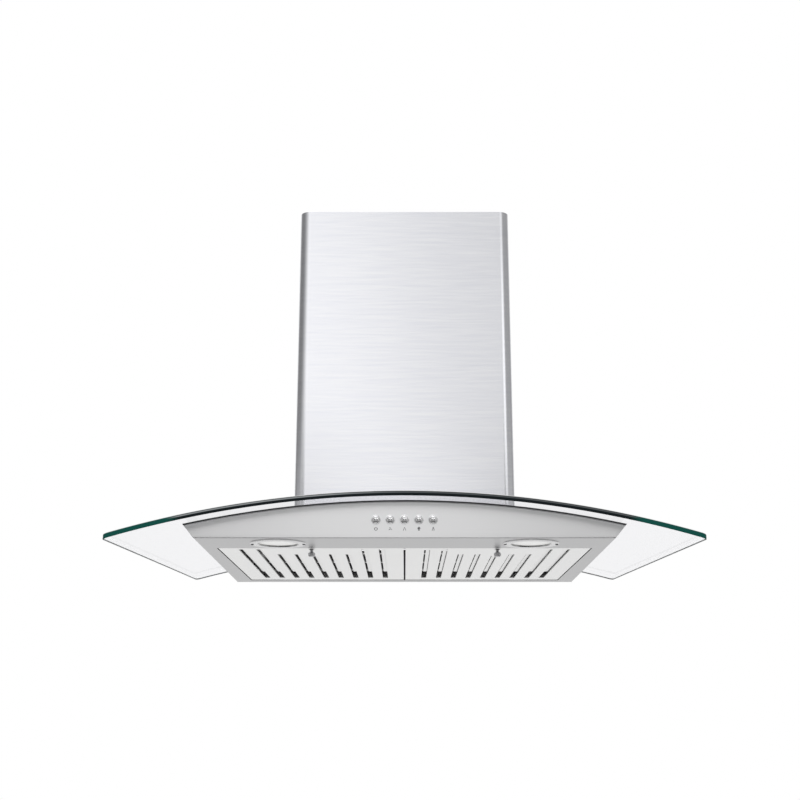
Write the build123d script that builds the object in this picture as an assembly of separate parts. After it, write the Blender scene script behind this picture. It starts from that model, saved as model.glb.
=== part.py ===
from build123d import *
import math
import os

# Wall-mounted chimney hood with an arched glass canopy, in millimetres.
# The wall is the plane y = 0, the front faces -Y, and the origin is the centre of the wall-hole pattern.
# Heights are measured up from the hood's flat underside; up() turns a height into z.

# Wall holes in the back of the blower casing
WALL_HOLE_HEIGHT = 200.0
WALL_HOLE_SPACING_X = 180.0
WALL_HOLE_SPACING_Z = 160.0
WALL_HOLE_RADIUS = 4.0

# Filters
FILTER_WIDTH = 230.8
FILTER_DEPTH = 340.0
FILTER_HEIGHT = 10.0
FILTER_SHEET = 1.0
FILTER_GAP = 1.5
FILTER_REAR_GAP = 7.5
CENTRE_GAP = 2.4
SLOT_PITCH = 22.0
SLOT_WIDTH = 7.5
SLOT_BORDER = 24.0
SLOT_FRONT_MARGIN = 11.0
SLOT_REAR_MARGIN = 22.0
LATCH_ZONE_DEPTH = 57.0
LATCH_SLOT_DEPTH = 72.0
STRIP_WIDTH = 4.8
STRIP_OFFSET = 1.0
STRIP_RISE = 2.0
WINDOW_LENGTH = 56.0
CROSS_BAR_WIDTH = 8.0
CROSS_BAR_HEIGHT = 2.0
CROSS_BAR_COUNT = 3
TAB_WIDTH = 24.0
TAB_REACH = 6.0
TAB_THICKNESS = 1.2

# Filter latches
LATCH_WIDTH = 12.0
LATCH_LENGTH = 34.0
LATCH_THICKNESS = 2.0
LATCH_TRAVEL = 6.0
LATCH_CLEARANCE = 0.3
LATCH_KNOB_PLACE = 14.0
LATCH_STEM_RADIUS = 2.2
LATCH_STEM_DROP = 3.0
LATCH_KNOB_RADIUS = 4.5
LATCH_KNOB_HEIGHT = 6.0
GUIDE_WALL = 1.5
GUIDE_LENGTH = 24.0

# Canopy tray
LAMP_BAND = 84.0
SIDE_BAND = 15.0
REAR_BAND = 24.0
BACK_WIDENING = 9.0
SIDE_SPREAD = 0.83
TRAY_SHEET = 1.2
REAR_FLANGE = 14.0
PLATE_SHEET = 1.0

# Arched glass
GLASS_FRONT_WIDTH = 700.0
GLASS_BACK_WIDTH = 642.0
GLASS_OVERHANG = 30.0
GLASS_WALL_GAP = 1.0
GLASS_THICKNESS = 6.0
GLASS_CORNER_RADIUS = 8.0
ARCH_RADIUS = 1224.0
GLASS_APEX_HEIGHT = 48.5
SEAL_THICKNESS = 2.0
SEAL_WIDTH = 12.0
CASING_SEAL_MIN = 2.0

# Clamping bolts through the glass
BOLT_RADIUS = 2.5
BOLT_HEAD_RADIUS = 4.5
BOLT_HEAD_HEIGHT = 3.0
BOLT_END = 2.0
BOLT_CLEARANCE = 0.25
GLASS_BOLT_CLEARANCE = 1.5
NUT_RADIUS = 4.6
NUT_HEIGHT = 4.0

# Push buttons
BUTTON_COUNT = 5
BUTTON_PITCH = 16.9
BUTTON_HEIGHT = 22.0
BUTTON_RADIUS = 4.2
BUTTON_PROUD = 4.5
BUTTON_EDGE_RADIUS = 1.4
BUTTON_TRAVEL = 2.5
BUTTON_CLEARANCE = 0.3
BUTTON_BODY_LENGTH = 10.5
BUTTON_STEM_RADIUS = 2.0
BUTTON_STEM_LENGTH = 10.0
BEZEL_WALL = 0.6
BEZEL_RIM = 0.7
BEZEL_THICKNESS = 0.8
BEZEL_SLEEVE = 4.2

# Switch housing behind the buttons
HOUSING_DEPTH = 28.0
HOUSING_HEIGHT = 20.0
HOUSING_END = 12.0
BUTTON_END_GAP = 1.7
EAR_WIDTH = 10.0
EAR_THICKNESS = 2.0
EAR_HEIGHT = 12.0
STUD_RADIUS = 1.5
STUD_LENGTH = 7.0
STUD_NUT_RADIUS = 3.0
STUD_NUT_HEIGHT = 2.4

# Lamps
LAMP_OFFSET = 153.0
LAMP_BEZEL_RADIUS = 34.0
LAMP_BEZEL_THICKNESS = 1.5
LAMP_WINDOW_RADIUS = 24.0
LAMP_SKIRT_RADIUS = 28.0
LAMP_SKIRT_WALL = 1.5
LAMP_SKIRT_HEIGHT = 8.0
LAMP_BODY_HEIGHT = 18.0
LAMP_LENS_THICKNESS = 2.0
LAMP_CLEARANCE = 0.3
LAMP_SCREW_HEAD_RADIUS = 1.7
LAMP_SCREW_HEAD_HEIGHT = 0.7
LAMP_SCREW_RADIUS = 1.2
LAMP_SCREW_LENGTH = 5.0
DRIVER_OFFSET = 90.0
DRIVER_WIDTH = 50.0
DRIVER_DEPTH = 36.0
DRIVER_HEIGHT = 17.0
DRIVER_CORNER_RADIUS = 2.0

# Blower
IMPELLER_RADIUS = 95.0
IMPELLER_WIDTH = 104.0
IMPELLER_DISC = 2.0
BLADE_COUNT = 36
BLADE_DEPTH = 15.0
BLADE_THICKNESS = 1.2
BLADE_LEAN = 9.0
BLADE_RING = 2.0
HUB_RADIUS = 14.0
HUB_LENGTH = 18.0
HUB_MOTOR_GAP = 4.0
HUB_NUT_RADIUS = 7.0
HUB_NUT_HEIGHT = 6.0
SHAFT_RADIUS = 4.0
SHAFT_CLEARANCE = 0.05
SHAFT_END = 2.0
SHAFT_GRIP = 22.0
MOTOR_RADIUS = 45.0
MOTOR_EDGE_RADIUS = 4.0
MOTOR_BUSH_RADIUS = 6.0
MOTOR_BUSH_THICKNESS = 4.0
MOTOR_BUSH_PLACE = 24.0
MOTOR_ARM_WIDTH = 14.0
MOTOR_ARM_SHEET = 2.0
MOTOR_ARM_COUNT = 3
MOTOR_PLATE_RADIUS = 34.0
MOTOR_RING_WIDTH = 11.0
MOTOR_SCREW_DEPTH = 8.0
IMPELLER_CLEARANCE = 5.0
SCROLL_SIDE_GAP = 7.0
SCROLL_GROWTH = 9.0
SCROLL_WALL = 2.5
SCROLL_FLANGE = 4.0
SCROLL_FLANGE_SHEET = 2.0
SCROLL_INLET_RADIUS = 78.0
SCROLL_FLOOR_GAP = 6.0
TONGUE_PLACE = 10.0
OUTLET_NECK = 50.0
SCROLL_SCREW_RADIUS = 1.25

# Blower casing
CASING_SHEET = 1.2
CASING_CLEARANCE = 1.5
INLET_SPACE = 61.5
FLOOR_LEDGE = 30.0
COVER_FLANGE = 12.0
SCREW_RADIUS = 1.5
SCREW_HEAD_RADIUS = 3.2
SCREW_HEAD_HEIGHT = 2.0
SCREW_LENGTH = 6.0
SCREW_CLEARANCE = 0.1

# Capacitor and terminal box
CAPACITOR_RADIUS = 17.0
CAPACITOR_LENGTH = 60.0
CAPACITOR_EDGE_RADIUS = 2.0
CAPACITOR_INSET = 30.0
CAPACITOR_RISE = 20.0
CAPACITOR_WALL_GAP = 16.0
CLIP_SHEET = 1.2
CLIP_HEIGHT = 15.0
TERMINAL_WIDTH = 70.0
TERMINAL_DEPTH = 60.0
TERMINAL_HEIGHT = 28.0
TERMINAL_WALL = 2.0
TERMINAL_INSET = 10.0
TERMINAL_WALL_GAP = 30.0
GLAND_HEX_RADIUS = 9.0
GLAND_HEX_HEIGHT = 5.0
GLAND_BARREL_RADIUS = 7.0
GLAND_BARREL_HEIGHT = 10.0
GLAND_BORE_RADIUS = 4.0
LEAD_HOLE_RADIUS = 6.0

# Wiring inside the hood
LEAD_RADIUS = 2.0
LOOM_RADIUS = 2.5
LOOM_PLACE = 40.0
LOOM_BEND = 25.0
LOOM_LEVEL = 20.0
LOOM_CLEARANCE = 0.3
LOOM_RISE_INSET = 10.0

# Outlet collar and damper
COLLAR_RADIUS = 60.0
COLLAR_WALL = 2.0
COLLAR_HEIGHT = 45.0
COLLAR_FLANGE = 7.0
COLLAR_FLANGE_SHEET = 2.0
COLLAR_SCREW_INSET = 3.2
STOP_LIP = 3.0
STOP_LIP_HEIGHT = 3.0
FLAP_PLACE = 14.0
FLAP_THICKNESS = 1.0
FLAP_GAP = 0.5
PIN_RADIUS = 1.5
PIN_CLEARANCE = 0.05
PIN_SEAT = 1.0
KNUCKLE_RADIUS = 3.0
KNUCKLE_LENGTH = 16.0
KNUCKLE_GAP = 0.5

# Chimney
CHIMNEY_SHEET = 1.0
CHIMNEY_SIDE_SPACE = 18.3
CHIMNEY_FRONT_SPACE = 14.0
CHIMNEY_CORNER_RADIUS = 14.0
CHIMNEY_TOP_HEIGHT = 502.0
CHIMNEY_GLASS_GAP = 0.3
RETURN_FLANGE = 10.0
FLUE_GAP = 0.5
FLUE_BOTTOM_HEIGHT = 100.0
FLUE_TOP_DROP = 3.0
BRACKET_SHEET = 1.5
BRACKET_WIDTH = 60.0
BRACKET_LEG = 34.0
BRACKET_PLACE = 130.0
CHIMNEY_SCREW_HEAD_HEIGHT = 1.2

# Sizes worked out from the ones above
FLANGE_MARGIN = COVER_FLANGE / 2
OPENING_HALF = CENTRE_GAP / 2 + FILTER_WIDTH + FILTER_GAP
TRAY_FRONT_HALF = OPENING_HALF + SIDE_BAND
TRAY_BACK_HALF = TRAY_FRONT_HALF + BACK_WIDENING
TRAY_DEPTH = LAMP_BAND + FILTER_DEPTH + FILTER_GAP + FILTER_REAR_GAP + REAR_BAND
OPENING_FRONT_Y = -TRAY_DEPTH + LAMP_BAND
OPENING_BACK_Y = -REAR_BAND
FILTER_FRONT_Y = OPENING_FRONT_Y + FILTER_GAP
FILTER_BACK_Y = OPENING_BACK_Y - FILTER_REAR_GAP
LAMP_Y = -TRAY_DEPTH + LAMP_BAND / 2
PANEL_INSIDE_Y = -TRAY_DEPTH + TRAY_SHEET
POCKET_DEPTH = BUTTON_BODY_LENGTH - BUTTON_PROUD - TRAY_SHEET + BUTTON_TRAVEL + BUTTON_END_GAP
BORE_DEPTH = POCKET_DEPTH + BUTTON_STEM_LENGTH
LATCH_LOW = FILTER_SHEET + LATCH_CLEARANCE
LATCH_HIGH = LATCH_LOW + LATCH_THICKNESS
TAB_LOW = TRAY_SHEET + LATCH_CLEARANCE

GLASS_FRONT_Y = -TRAY_DEPTH - GLASS_OVERHANG
GLASS_TOP_R = ARCH_RADIUS + GLASS_THICKNESS / 2
GLASS_LOW_R = ARCH_RADIUS - GLASS_THICKNESS / 2
PLATE_TOP_R = GLASS_LOW_R - SEAL_THICKNESS
PLATE_LOW_R = PLATE_TOP_R - PLATE_SHEET
ARCH_AXIS_HEIGHT = GLASS_APEX_HEIGHT - ARCH_RADIUS
WEDGE_TOP = GLASS_APEX_HEIGHT + 30.0

SCROLL_WIDTH = IMPELLER_WIDTH + 2 * SCROLL_SIDE_GAP
SCROLL_HALF = SCROLL_GROWTH / 2
SCROLL_RADII = [IMPELLER_RADIUS + IMPELLER_CLEARANCE + SCROLL_GROWTH * turn for turn in range(4)]
SCROLL_RIM = SCROLL_WALL + SCROLL_FLANGE
SCROLL_LEFT = SCROLL_HALF + SCROLL_RADII[1]
SCROLL_DOWN = SCROLL_HALF + SCROLL_RADII[2]
SCROLL_RIGHT = SCROLL_HALF + SCROLL_RADII[3]
OUTLET_RISE = SCROLL_RADII[0] + OUTLET_NECK
CASING_HALF = (SCROLL_LEFT + SCROLL_RIGHT) / 2 + SCROLL_RIM + CASING_CLEARANCE + CASING_SHEET
CASING_DEPTH = SCROLL_WIDTH + 2 * SCROLL_WALL + 2 * INLET_SPACE
CASING_FLOOR = ARCH_AXIS_HEIGHT + GLASS_TOP_R + CASING_SEAL_MIN
AXIS_X = (SCROLL_LEFT - SCROLL_RIGHT) / 2
AXIS_Y = -CASING_DEPTH / 2
AXIS_HEIGHT = CASING_FLOOR + CASING_SHEET + SCROLL_FLOOR_GAP + SCROLL_DOWN + SCROLL_RIM
CASING_TOP = AXIS_HEIGHT + OUTLET_RISE + CASING_SHEET
AIR_HALF = CASING_HALF - FLOOR_LEDGE
AIR_FRONT_Y = -CASING_DEPTH + FLOOR_LEDGE
AIR_BACK_Y = -FLOOR_LEDGE
BOLT_PLACES = [(side * (CASING_HALF - FLOOR_LEDGE / 2), y)
               for side in (-1, 1)
               for y in (-CASING_DEPTH + FLOOR_LEDGE / 2, -FLOOR_LEDGE / 2)]
OUTLET_X = AXIS_X + (TONGUE_PLACE + SCROLL_RIGHT) / 2
COLLAR_HALF = COLLAR_RADIUS + COLLAR_FLANGE
COLLAR_BORE = COLLAR_RADIUS - COLLAR_WALL
COLLAR_BASE = CASING_TOP + COLLAR_FLANGE_SHEET
PIN_HEIGHT = COLLAR_BASE + FLAP_PLACE
COLLAR_SCREWS = [(OUTLET_X + side * (COLLAR_HALF - COLLAR_SCREW_INSET),
                  AXIS_Y + end * (COLLAR_HALF - COLLAR_SCREW_INSET))
                 for side in (-1, 1)
                 for end in (-1, 1)]

SCROLL_BACK_Y = AXIS_Y + SCROLL_WIDTH / 2 + SCROLL_WALL
MOTOR_BACK_Y = SCROLL_BACK_Y - MOTOR_BUSH_THICKNESS
HUB_BACK_Y = AXIS_Y + IMPELLER_DISC / 2 + HUB_MOTOR_GAP
MOTOR_FRONT_Y = HUB_BACK_Y + HUB_MOTOR_GAP
HUB_FRONT_Y = HUB_BACK_Y - HUB_LENGTH

CHIMNEY_HALF = CASING_HALF + CHIMNEY_SIDE_SPACE
CHIMNEY_DEPTH = CASING_DEPTH + CHIMNEY_FRONT_SPACE
CHIMNEY_SCREW_HEIGHT = FLUE_BOTTOM_HEIGHT - BRACKET_LEG / 2

TERMINAL_X = -CASING_HALF + TERMINAL_INSET + TERMINAL_WIDTH / 2
TERMINAL_Y = -TERMINAL_WALL_GAP - TERMINAL_DEPTH / 2
TERMINAL_TOP = CASING_TOP + TERMINAL_HEIGHT
GLAND_BASE = TERMINAL_TOP + TERMINAL_WALL
CAPACITOR_X = -CASING_HALF + CASING_SHEET + CAPACITOR_INSET
CAPACITOR_Y = -CASING_SHEET - CAPACITOR_WALL_GAP - CAPACITOR_RADIUS
CAPACITOR_BASE = CASING_FLOOR + CASING_SHEET + CAPACITOR_RISE


# Plain shapes

def up(height):
    """Turn a height above the underside into z."""
    return height - WALL_HOLE_HEIGHT


def block(x0, x1, y0, y1, h0, h1):
    """Box between two corners."""
    centre = Pos((x0 + x1) / 2, (y0 + y1) / 2, up((h0 + h1) / 2))
    return centre * Box(x1 - x0, y1 - y0, h1 - h0)


def post(x, y, h0, h1, radius):
    """Upright round bar between two heights."""
    return Pos(x, y, up((h0 + h1) / 2)) * Cylinder(radius, h1 - h0)


def bar_y(x, height, y0, y1, radius):
    """Round bar running front to back."""
    return Pos(x, (y0 + y1) / 2, up(height)) * Rot(90, 0, 0) * Cylinder(radius, y1 - y0)


def bar_x(y, height, x0, x1, radius):
    """Round bar running side to side."""
    return Pos((x0 + x1) / 2, y, up(height)) * Rot(0, 90, 0) * Cylinder(radius, x1 - x0)


def hex_post(x, y, h0, h1, radius):
    """Upright six-sided bar."""
    return Pos(x, y, up(h0)) * extrude(RegularPolygon(radius, 6), h1 - h0)


def hex_bar_y(x, height, y0, y1, radius):
    """Six-sided bar running front to back."""
    return Pos(x, y1, up(height)) * extrude(Plane.XZ * RegularPolygon(radius, 6), y1 - y0)


def upright_slab(face, y0, y1):
    """Solid on an outline drawn in the x-z plane about the fan axis."""
    return Pos(AXIS_X, y1, up(AXIS_HEIGHT)) * extrude(Plane.XZ * face, y1 - y0)


def joined(shapes):
    """One node from several solids, fused where they meet."""
    return Part() + shapes


# Canopy tray, its rear panel and its top plate

def arch_core(radius):
    """Solid round core about the axis of the arch, longer than the hood is deep."""
    length = 2 * TRAY_DEPTH + 2 * GLASS_OVERHANG
    return Pos(0, -TRAY_DEPTH / 2, up(ARCH_AXIS_HEIGHT)) * Rot(90, 0, 0) * Cylinder(radius, length)


def arch_layer(solid, inner_radius, outer_radius):
    """The part of a solid between two radii of the arch."""
    return (solid & arch_core(outer_radius)) - arch_core(inner_radius)


def tray_section(height, inset, back_y):
    """Plan outline of the tray at one height, drawn in by an inset."""
    spread = SIDE_SPREAD * height - inset
    front = TRAY_FRONT_HALF + spread
    back = TRAY_BACK_HALF + spread
    front_y = -TRAY_DEPTH + inset
    corners = [(-front, front_y), (front, front_y), (back, back_y), (-back, back_y)]
    return Pos(0, 0, up(height)) * make_face(Polyline(*corners, close=True))


def tray_wedge(inset, floor, top, back_y):
    """Solid with upright front and back and sides that spread as they rise."""
    return loft([tray_section(floor, inset, back_y), tray_section(top, inset, back_y)], ruled=True)


def button_x(index):
    """Place of one button along the panel."""
    return (index - (BUTTON_COUNT - 1) / 2) * BUTTON_PITCH


def lamp_screw_places(side):
    """Centres of the two screws of one lamp bezel."""
    radius = (LAMP_BEZEL_RADIUS + LAMP_SKIRT_RADIUS + LAMP_CLEARANCE) / 2
    return [(side * LAMP_OFFSET + end * radius, LAMP_Y) for end in (-1, 1)]


def canopy_tray():
    """Folded sheet: front panel, sloping sides and the underside frame round the filters."""
    outer = tray_wedge(0, 0, WEDGE_TOP, -TRAY_SHEET)
    inner = tray_wedge(TRAY_SHEET, TRAY_SHEET, WEDGE_TOP + TRAY_SHEET, TRAY_SHEET)
    tray = (outer - inner) & arch_core(PLATE_LOW_R)
    tray -= block(-OPENING_HALF, OPENING_HALF, OPENING_FRONT_Y, OPENING_BACK_Y, -TRAY_SHEET, 2 * TRAY_SHEET)
    holes = []
    for index in range(BUTTON_COUNT):
        holes.append(bar_y(button_x(index), BUTTON_HEIGHT, -TRAY_DEPTH - 1, PANEL_INSIDE_Y + 1,
                           bezel_sleeve_radius()))
    for side in (-1, 1):
        radius = LAMP_SKIRT_RADIUS + LAMP_CLEARANCE
        holes.append(post(side * LAMP_OFFSET, LAMP_Y, -1, TRAY_SHEET + 1, radius))
        for x, y in lamp_screw_places(side):
            holes.append(post(x, y, -1, TRAY_SHEET + 1, LAMP_SCREW_RADIUS + SCREW_CLEARANCE))
    return tray - holes


def rear_panel():
    """Sheet that closes the tray at the wall, with a flange lying on the rear band."""
    slice_box = block(-GLASS_BACK_WIDTH, GLASS_BACK_WIDTH, -TRAY_SHEET, 0, 0, WEDGE_TOP)
    sheet = tray_wedge(0, 0, WEDGE_TOP, 0) & slice_box & arch_core(PLATE_LOW_R)
    half = TRAY_BACK_HALF - REAR_FLANGE
    flange = block(-half, half, -TRAY_SHEET - REAR_FLANGE, -TRAY_SHEET, TRAY_SHEET, 2 * TRAY_SHEET)
    return sheet + flange


def air_opening(h0, h1):
    """Block that cuts the air way through glass, plates and casing floor."""
    return block(-AIR_HALF, AIR_HALF, AIR_FRONT_Y, AIR_BACK_Y, h0, h1)


def bolt_holes(h0, h1, clearance):
    """Bars that cut the four clamping-bolt holes."""
    return [post(x, y, h0, h1, BOLT_RADIUS + clearance) for x, y in BOLT_PLACES]


def top_plate():
    """Arched sheet that closes the tray under the glass."""
    sheet = arch_layer(tray_wedge(0, 0, WEDGE_TOP, 0), PLATE_LOW_R, PLATE_TOP_R)
    return sheet - [air_opening(0, WEDGE_TOP)] - bolt_holes(0, WEDGE_TOP, BOLT_CLEARANCE)


def glass_seal():
    """Rubber strip on the rim of the top plate and round the air way."""
    rim = tray_wedge(0, 0, WEDGE_TOP, -GLASS_WALL_GAP)
    rim -= tray_wedge(SEAL_WIDTH, 0, WEDGE_TOP + 1, -GLASS_WALL_GAP - SEAL_WIDTH)
    ring = block(-CASING_HALF, CASING_HALF, -CASING_DEPTH, -GLASS_WALL_GAP, 0, WEDGE_TOP)
    ring -= air_opening(-1, WEDGE_TOP + 1)
    seal = arch_layer(rim + ring, PLATE_TOP_R, GLASS_LOW_R)
    return seal - bolt_holes(0, WEDGE_TOP, BOLT_CLEARANCE)


def glass_canopy():
    """Arched sheet of glass, wider at the front, with the air way cut through it."""
    front = GLASS_FRONT_WIDTH / 2
    back = GLASS_BACK_WIDTH / 2
    corners = [(-front, GLASS_FRONT_Y), (front, GLASS_FRONT_Y),
               (back, -GLASS_WALL_GAP), (-back, -GLASS_WALL_GAP)]
    outline = make_face(Polyline(*corners, close=True))
    outline = fillet(outline.vertices(), GLASS_CORNER_RADIUS)
    depth_below = WEDGE_TOP + ARCH_RADIUS / 4
    plan = Pos(0, 0, up(-depth_below)) * extrude(outline, depth_below + WEDGE_TOP)
    glass = arch_layer(plan, GLASS_LOW_R, GLASS_TOP_R)
    return glass - [air_opening(0, WEDGE_TOP)] - bolt_holes(0, WEDGE_TOP, GLASS_BOLT_CLEARANCE)


def casing_seal():
    """Rubber frame, flat on top and arched below, between the glass and the blower casing."""
    frame = block(-CASING_HALF, CASING_HALF, -CASING_DEPTH, -GLASS_WALL_GAP, 0, CASING_FLOOR)
    frame -= air_opening(-1, CASING_FLOOR + 1)
    frame -= arch_core(GLASS_TOP_R)
    return frame - bolt_holes(0, CASING_FLOOR + 1, BOLT_CLEARANCE)


def clamp_bolts():
    """Bolts that hold casing, glass and tray together."""
    floor_top = CASING_FLOOR + CASING_SHEET
    bolts = []
    for x, y in BOLT_PLACES:
        plate_low = arch_height(PLATE_LOW_R, x)
        head = post(x, y, floor_top, floor_top + BOLT_HEAD_HEIGHT, BOLT_HEAD_RADIUS)
        bolts.append(head + post(x, y, plate_low - NUT_HEIGHT - BOLT_END, floor_top, BOLT_RADIUS))
    return joined(bolts)


def clamp_nuts():
    """Nuts under the top plate, their upper faces on its curve."""
    nuts = []
    for x, y in BOLT_PLACES:
        plate_low = arch_height(PLATE_LOW_R, x)
        nut = hex_post(x, y, plate_low - NUT_HEIGHT, plate_low + NUT_HEIGHT, NUT_RADIUS)
        nut -= post(x, y, 0, WEDGE_TOP, BOLT_RADIUS)
        nuts.append(nut & arch_core(PLATE_LOW_R))
    return joined(nuts)


def arch_height(radius, x):
    """Height of one radius of the arch at a distance from the middle."""
    return ARCH_AXIS_HEIGHT + math.sqrt(radius ** 2 - x ** 2)


# Buttons and switch housing

def bezel_sleeve_radius():
    """Outside of the bezel sleeve, which fills its hole in the panel."""
    return BUTTON_RADIUS + BUTTON_CLEARANCE + BEZEL_WALL


def button_bezels():
    """Ring round each button, flanged on the front of the panel."""
    rings = []
    for index in range(BUTTON_COUNT):
        x = button_x(index)
        sleeve = bar_y(x, BUTTON_HEIGHT, -TRAY_DEPTH, -TRAY_DEPTH + BEZEL_SLEEVE, bezel_sleeve_radius())
        rim = bar_y(x, BUTTON_HEIGHT, -TRAY_DEPTH - BEZEL_THICKNESS, -TRAY_DEPTH,
                    bezel_sleeve_radius() + BEZEL_RIM)
        front_edge = rim.edges().group_by(Axis.Y)[0]
        rim = fillet(front_edge, BEZEL_THICKNESS / 2)
        bore = bar_y(x, BUTTON_HEIGHT, -TRAY_DEPTH - BEZEL_SLEEVE, -TRAY_DEPTH + 2 * BEZEL_SLEEVE,
                     BUTTON_RADIUS + BUTTON_CLEARANCE)
        rings.append(sleeve + rim - bore)
    return joined(rings)


def button(index):
    """Push button: rounded cap and the stem that works its switch."""
    x = button_x(index)
    front_y = -TRAY_DEPTH - BUTTON_PROUD
    body_end = front_y + BUTTON_BODY_LENGTH
    cap = bar_y(x, BUTTON_HEIGHT, front_y, body_end, BUTTON_RADIUS)
    cap = fillet(cap.edges().group_by(Axis.Y)[0], BUTTON_EDGE_RADIUS)
    return cap + bar_y(x, BUTTON_HEIGHT, body_end, body_end + BUTTON_STEM_LENGTH, BUTTON_STEM_RADIUS)


def ear_places():
    """Centres of the two fixing studs of the switch housing."""
    middle = button_x(BUTTON_COUNT - 1) + HOUSING_END + EAR_WIDTH / 2
    return [-middle, middle]


def switch_housing():
    """Case behind the panel with a pocket and a bore for each button."""
    half = button_x(BUTTON_COUNT - 1) + HOUSING_END
    low = BUTTON_HEIGHT - HOUSING_HEIGHT / 2
    case = block(-half, half, PANEL_INSIDE_Y, PANEL_INSIDE_Y + HOUSING_DEPTH, low, low + HOUSING_HEIGHT)
    ear_low = BUTTON_HEIGHT - EAR_HEIGHT / 2
    ears = block(-half - EAR_WIDTH, half + EAR_WIDTH, PANEL_INSIDE_Y, PANEL_INSIDE_Y + EAR_THICKNESS,
                 ear_low, ear_low + EAR_HEIGHT)
    case += ears
    pocket_radius = bezel_sleeve_radius() + BUTTON_CLEARANCE
    for index in range(BUTTON_COUNT):
        x = button_x(index)
        case -= bar_y(x, BUTTON_HEIGHT, PANEL_INSIDE_Y - 1, PANEL_INSIDE_Y + POCKET_DEPTH, pocket_radius)
        case -= bar_y(x, BUTTON_HEIGHT, PANEL_INSIDE_Y, PANEL_INSIDE_Y + BORE_DEPTH,
                      BUTTON_STEM_RADIUS + BUTTON_CLEARANCE)
    for x in ear_places():
        case -= bar_y(x, BUTTON_HEIGHT, PANEL_INSIDE_Y - 1, PANEL_INSIDE_Y + EAR_THICKNESS + 1,
                      STUD_RADIUS + SCREW_CLEARANCE)
    return case


def switch_studs():
    """Studs on the back of the panel with their nuts."""
    studs = []
    for x in ear_places():
        stud = bar_y(x, BUTTON_HEIGHT, PANEL_INSIDE_Y, PANEL_INSIDE_Y + STUD_LENGTH, STUD_RADIUS)
        nut_y = PANEL_INSIDE_Y + EAR_THICKNESS
        studs.append(stud + hex_bar_y(x, BUTTON_HEIGHT, nut_y, nut_y + STUD_NUT_HEIGHT, STUD_NUT_RADIUS))
    return joined(studs)


# Lamps

def lamp_bezel(side):
    """Flanged ring in the underside."""
    x = side * LAMP_OFFSET
    flange = post(x, LAMP_Y, -LAMP_BEZEL_THICKNESS, 0, LAMP_BEZEL_RADIUS)
    flange = fillet(flange.edges().group_by(Axis.Z)[0], LAMP_BEZEL_THICKNESS / 2)
    flange -= post(x, LAMP_Y, -2 * LAMP_BEZEL_THICKNESS, 1, LAMP_WINDOW_RADIUS)
    skirt = post(x, LAMP_Y, 0, LAMP_SKIRT_HEIGHT, LAMP_SKIRT_RADIUS)
    skirt -= post(x, LAMP_Y, -1, LAMP_SKIRT_HEIGHT + 1, LAMP_SKIRT_RADIUS - LAMP_SKIRT_WALL)
    screw_holes = [post(sx, sy, -2 * LAMP_BEZEL_THICKNESS, 1, LAMP_SCREW_RADIUS + SCREW_CLEARANCE)
                   for sx, sy in lamp_screw_places(side)]
    return flange + skirt - screw_holes


def lamp_lens(side):
    """Frosted disc resting on the bezel's inner rim."""
    radius = LAMP_SKIRT_RADIUS - LAMP_SKIRT_WALL - LAMP_CLEARANCE
    return post(side * LAMP_OFFSET, LAMP_Y, 0, LAMP_LENS_THICKNESS, radius)


def lamp_body(side):
    """Lamp can above the lens, seated on the skirt."""
    x = side * LAMP_OFFSET
    plug_radius = LAMP_SKIRT_RADIUS - LAMP_SKIRT_WALL - LAMP_CLEARANCE
    plug = post(x, LAMP_Y, LAMP_LENS_THICKNESS, LAMP_SKIRT_HEIGHT, plug_radius)
    return plug + post(x, LAMP_Y, LAMP_SKIRT_HEIGHT, LAMP_BODY_HEIGHT, LAMP_SKIRT_RADIUS)


def lamp_screws():
    """Small screws at the two ends of each bezel."""
    screws = []
    for side in (-1, 1):
        for x, y in lamp_screw_places(side):
            head_low = -LAMP_BEZEL_THICKNESS - LAMP_SCREW_HEAD_HEIGHT
            head = post(x, y, head_low, -LAMP_BEZEL_THICKNESS, LAMP_SCREW_HEAD_RADIUS)
            shank_top = -LAMP_BEZEL_THICKNESS + LAMP_SCREW_LENGTH
            screws.append(head + post(x, y, -LAMP_BEZEL_THICKNESS, shank_top, LAMP_SCREW_RADIUS))
    return joined(screws)


def lamp_driver():
    """Power supply of the lamps, standing on the lamp band."""
    half_width = DRIVER_WIDTH / 2
    half_depth = DRIVER_DEPTH / 2
    case = block(DRIVER_OFFSET - half_width, DRIVER_OFFSET + half_width,
                 LAMP_Y - half_depth, LAMP_Y + half_depth, TRAY_SHEET, TRAY_SHEET + DRIVER_HEIGHT)
    return fillet(case.edges().filter_by(Axis.Z), DRIVER_CORNER_RADIUS)


# Wiring

def lead_piece(y, height, x0, x1, lamp_side):
    """Straight lead running side to side, cut where it meets a lamp can."""
    lead = bar_x(y, height, x0, x1, LEAD_RADIUS)
    return lead - post(lamp_side * LAMP_OFFSET, LAMP_Y, 0, LAMP_BODY_HEIGHT, LAMP_SKIRT_RADIUS)


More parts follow.
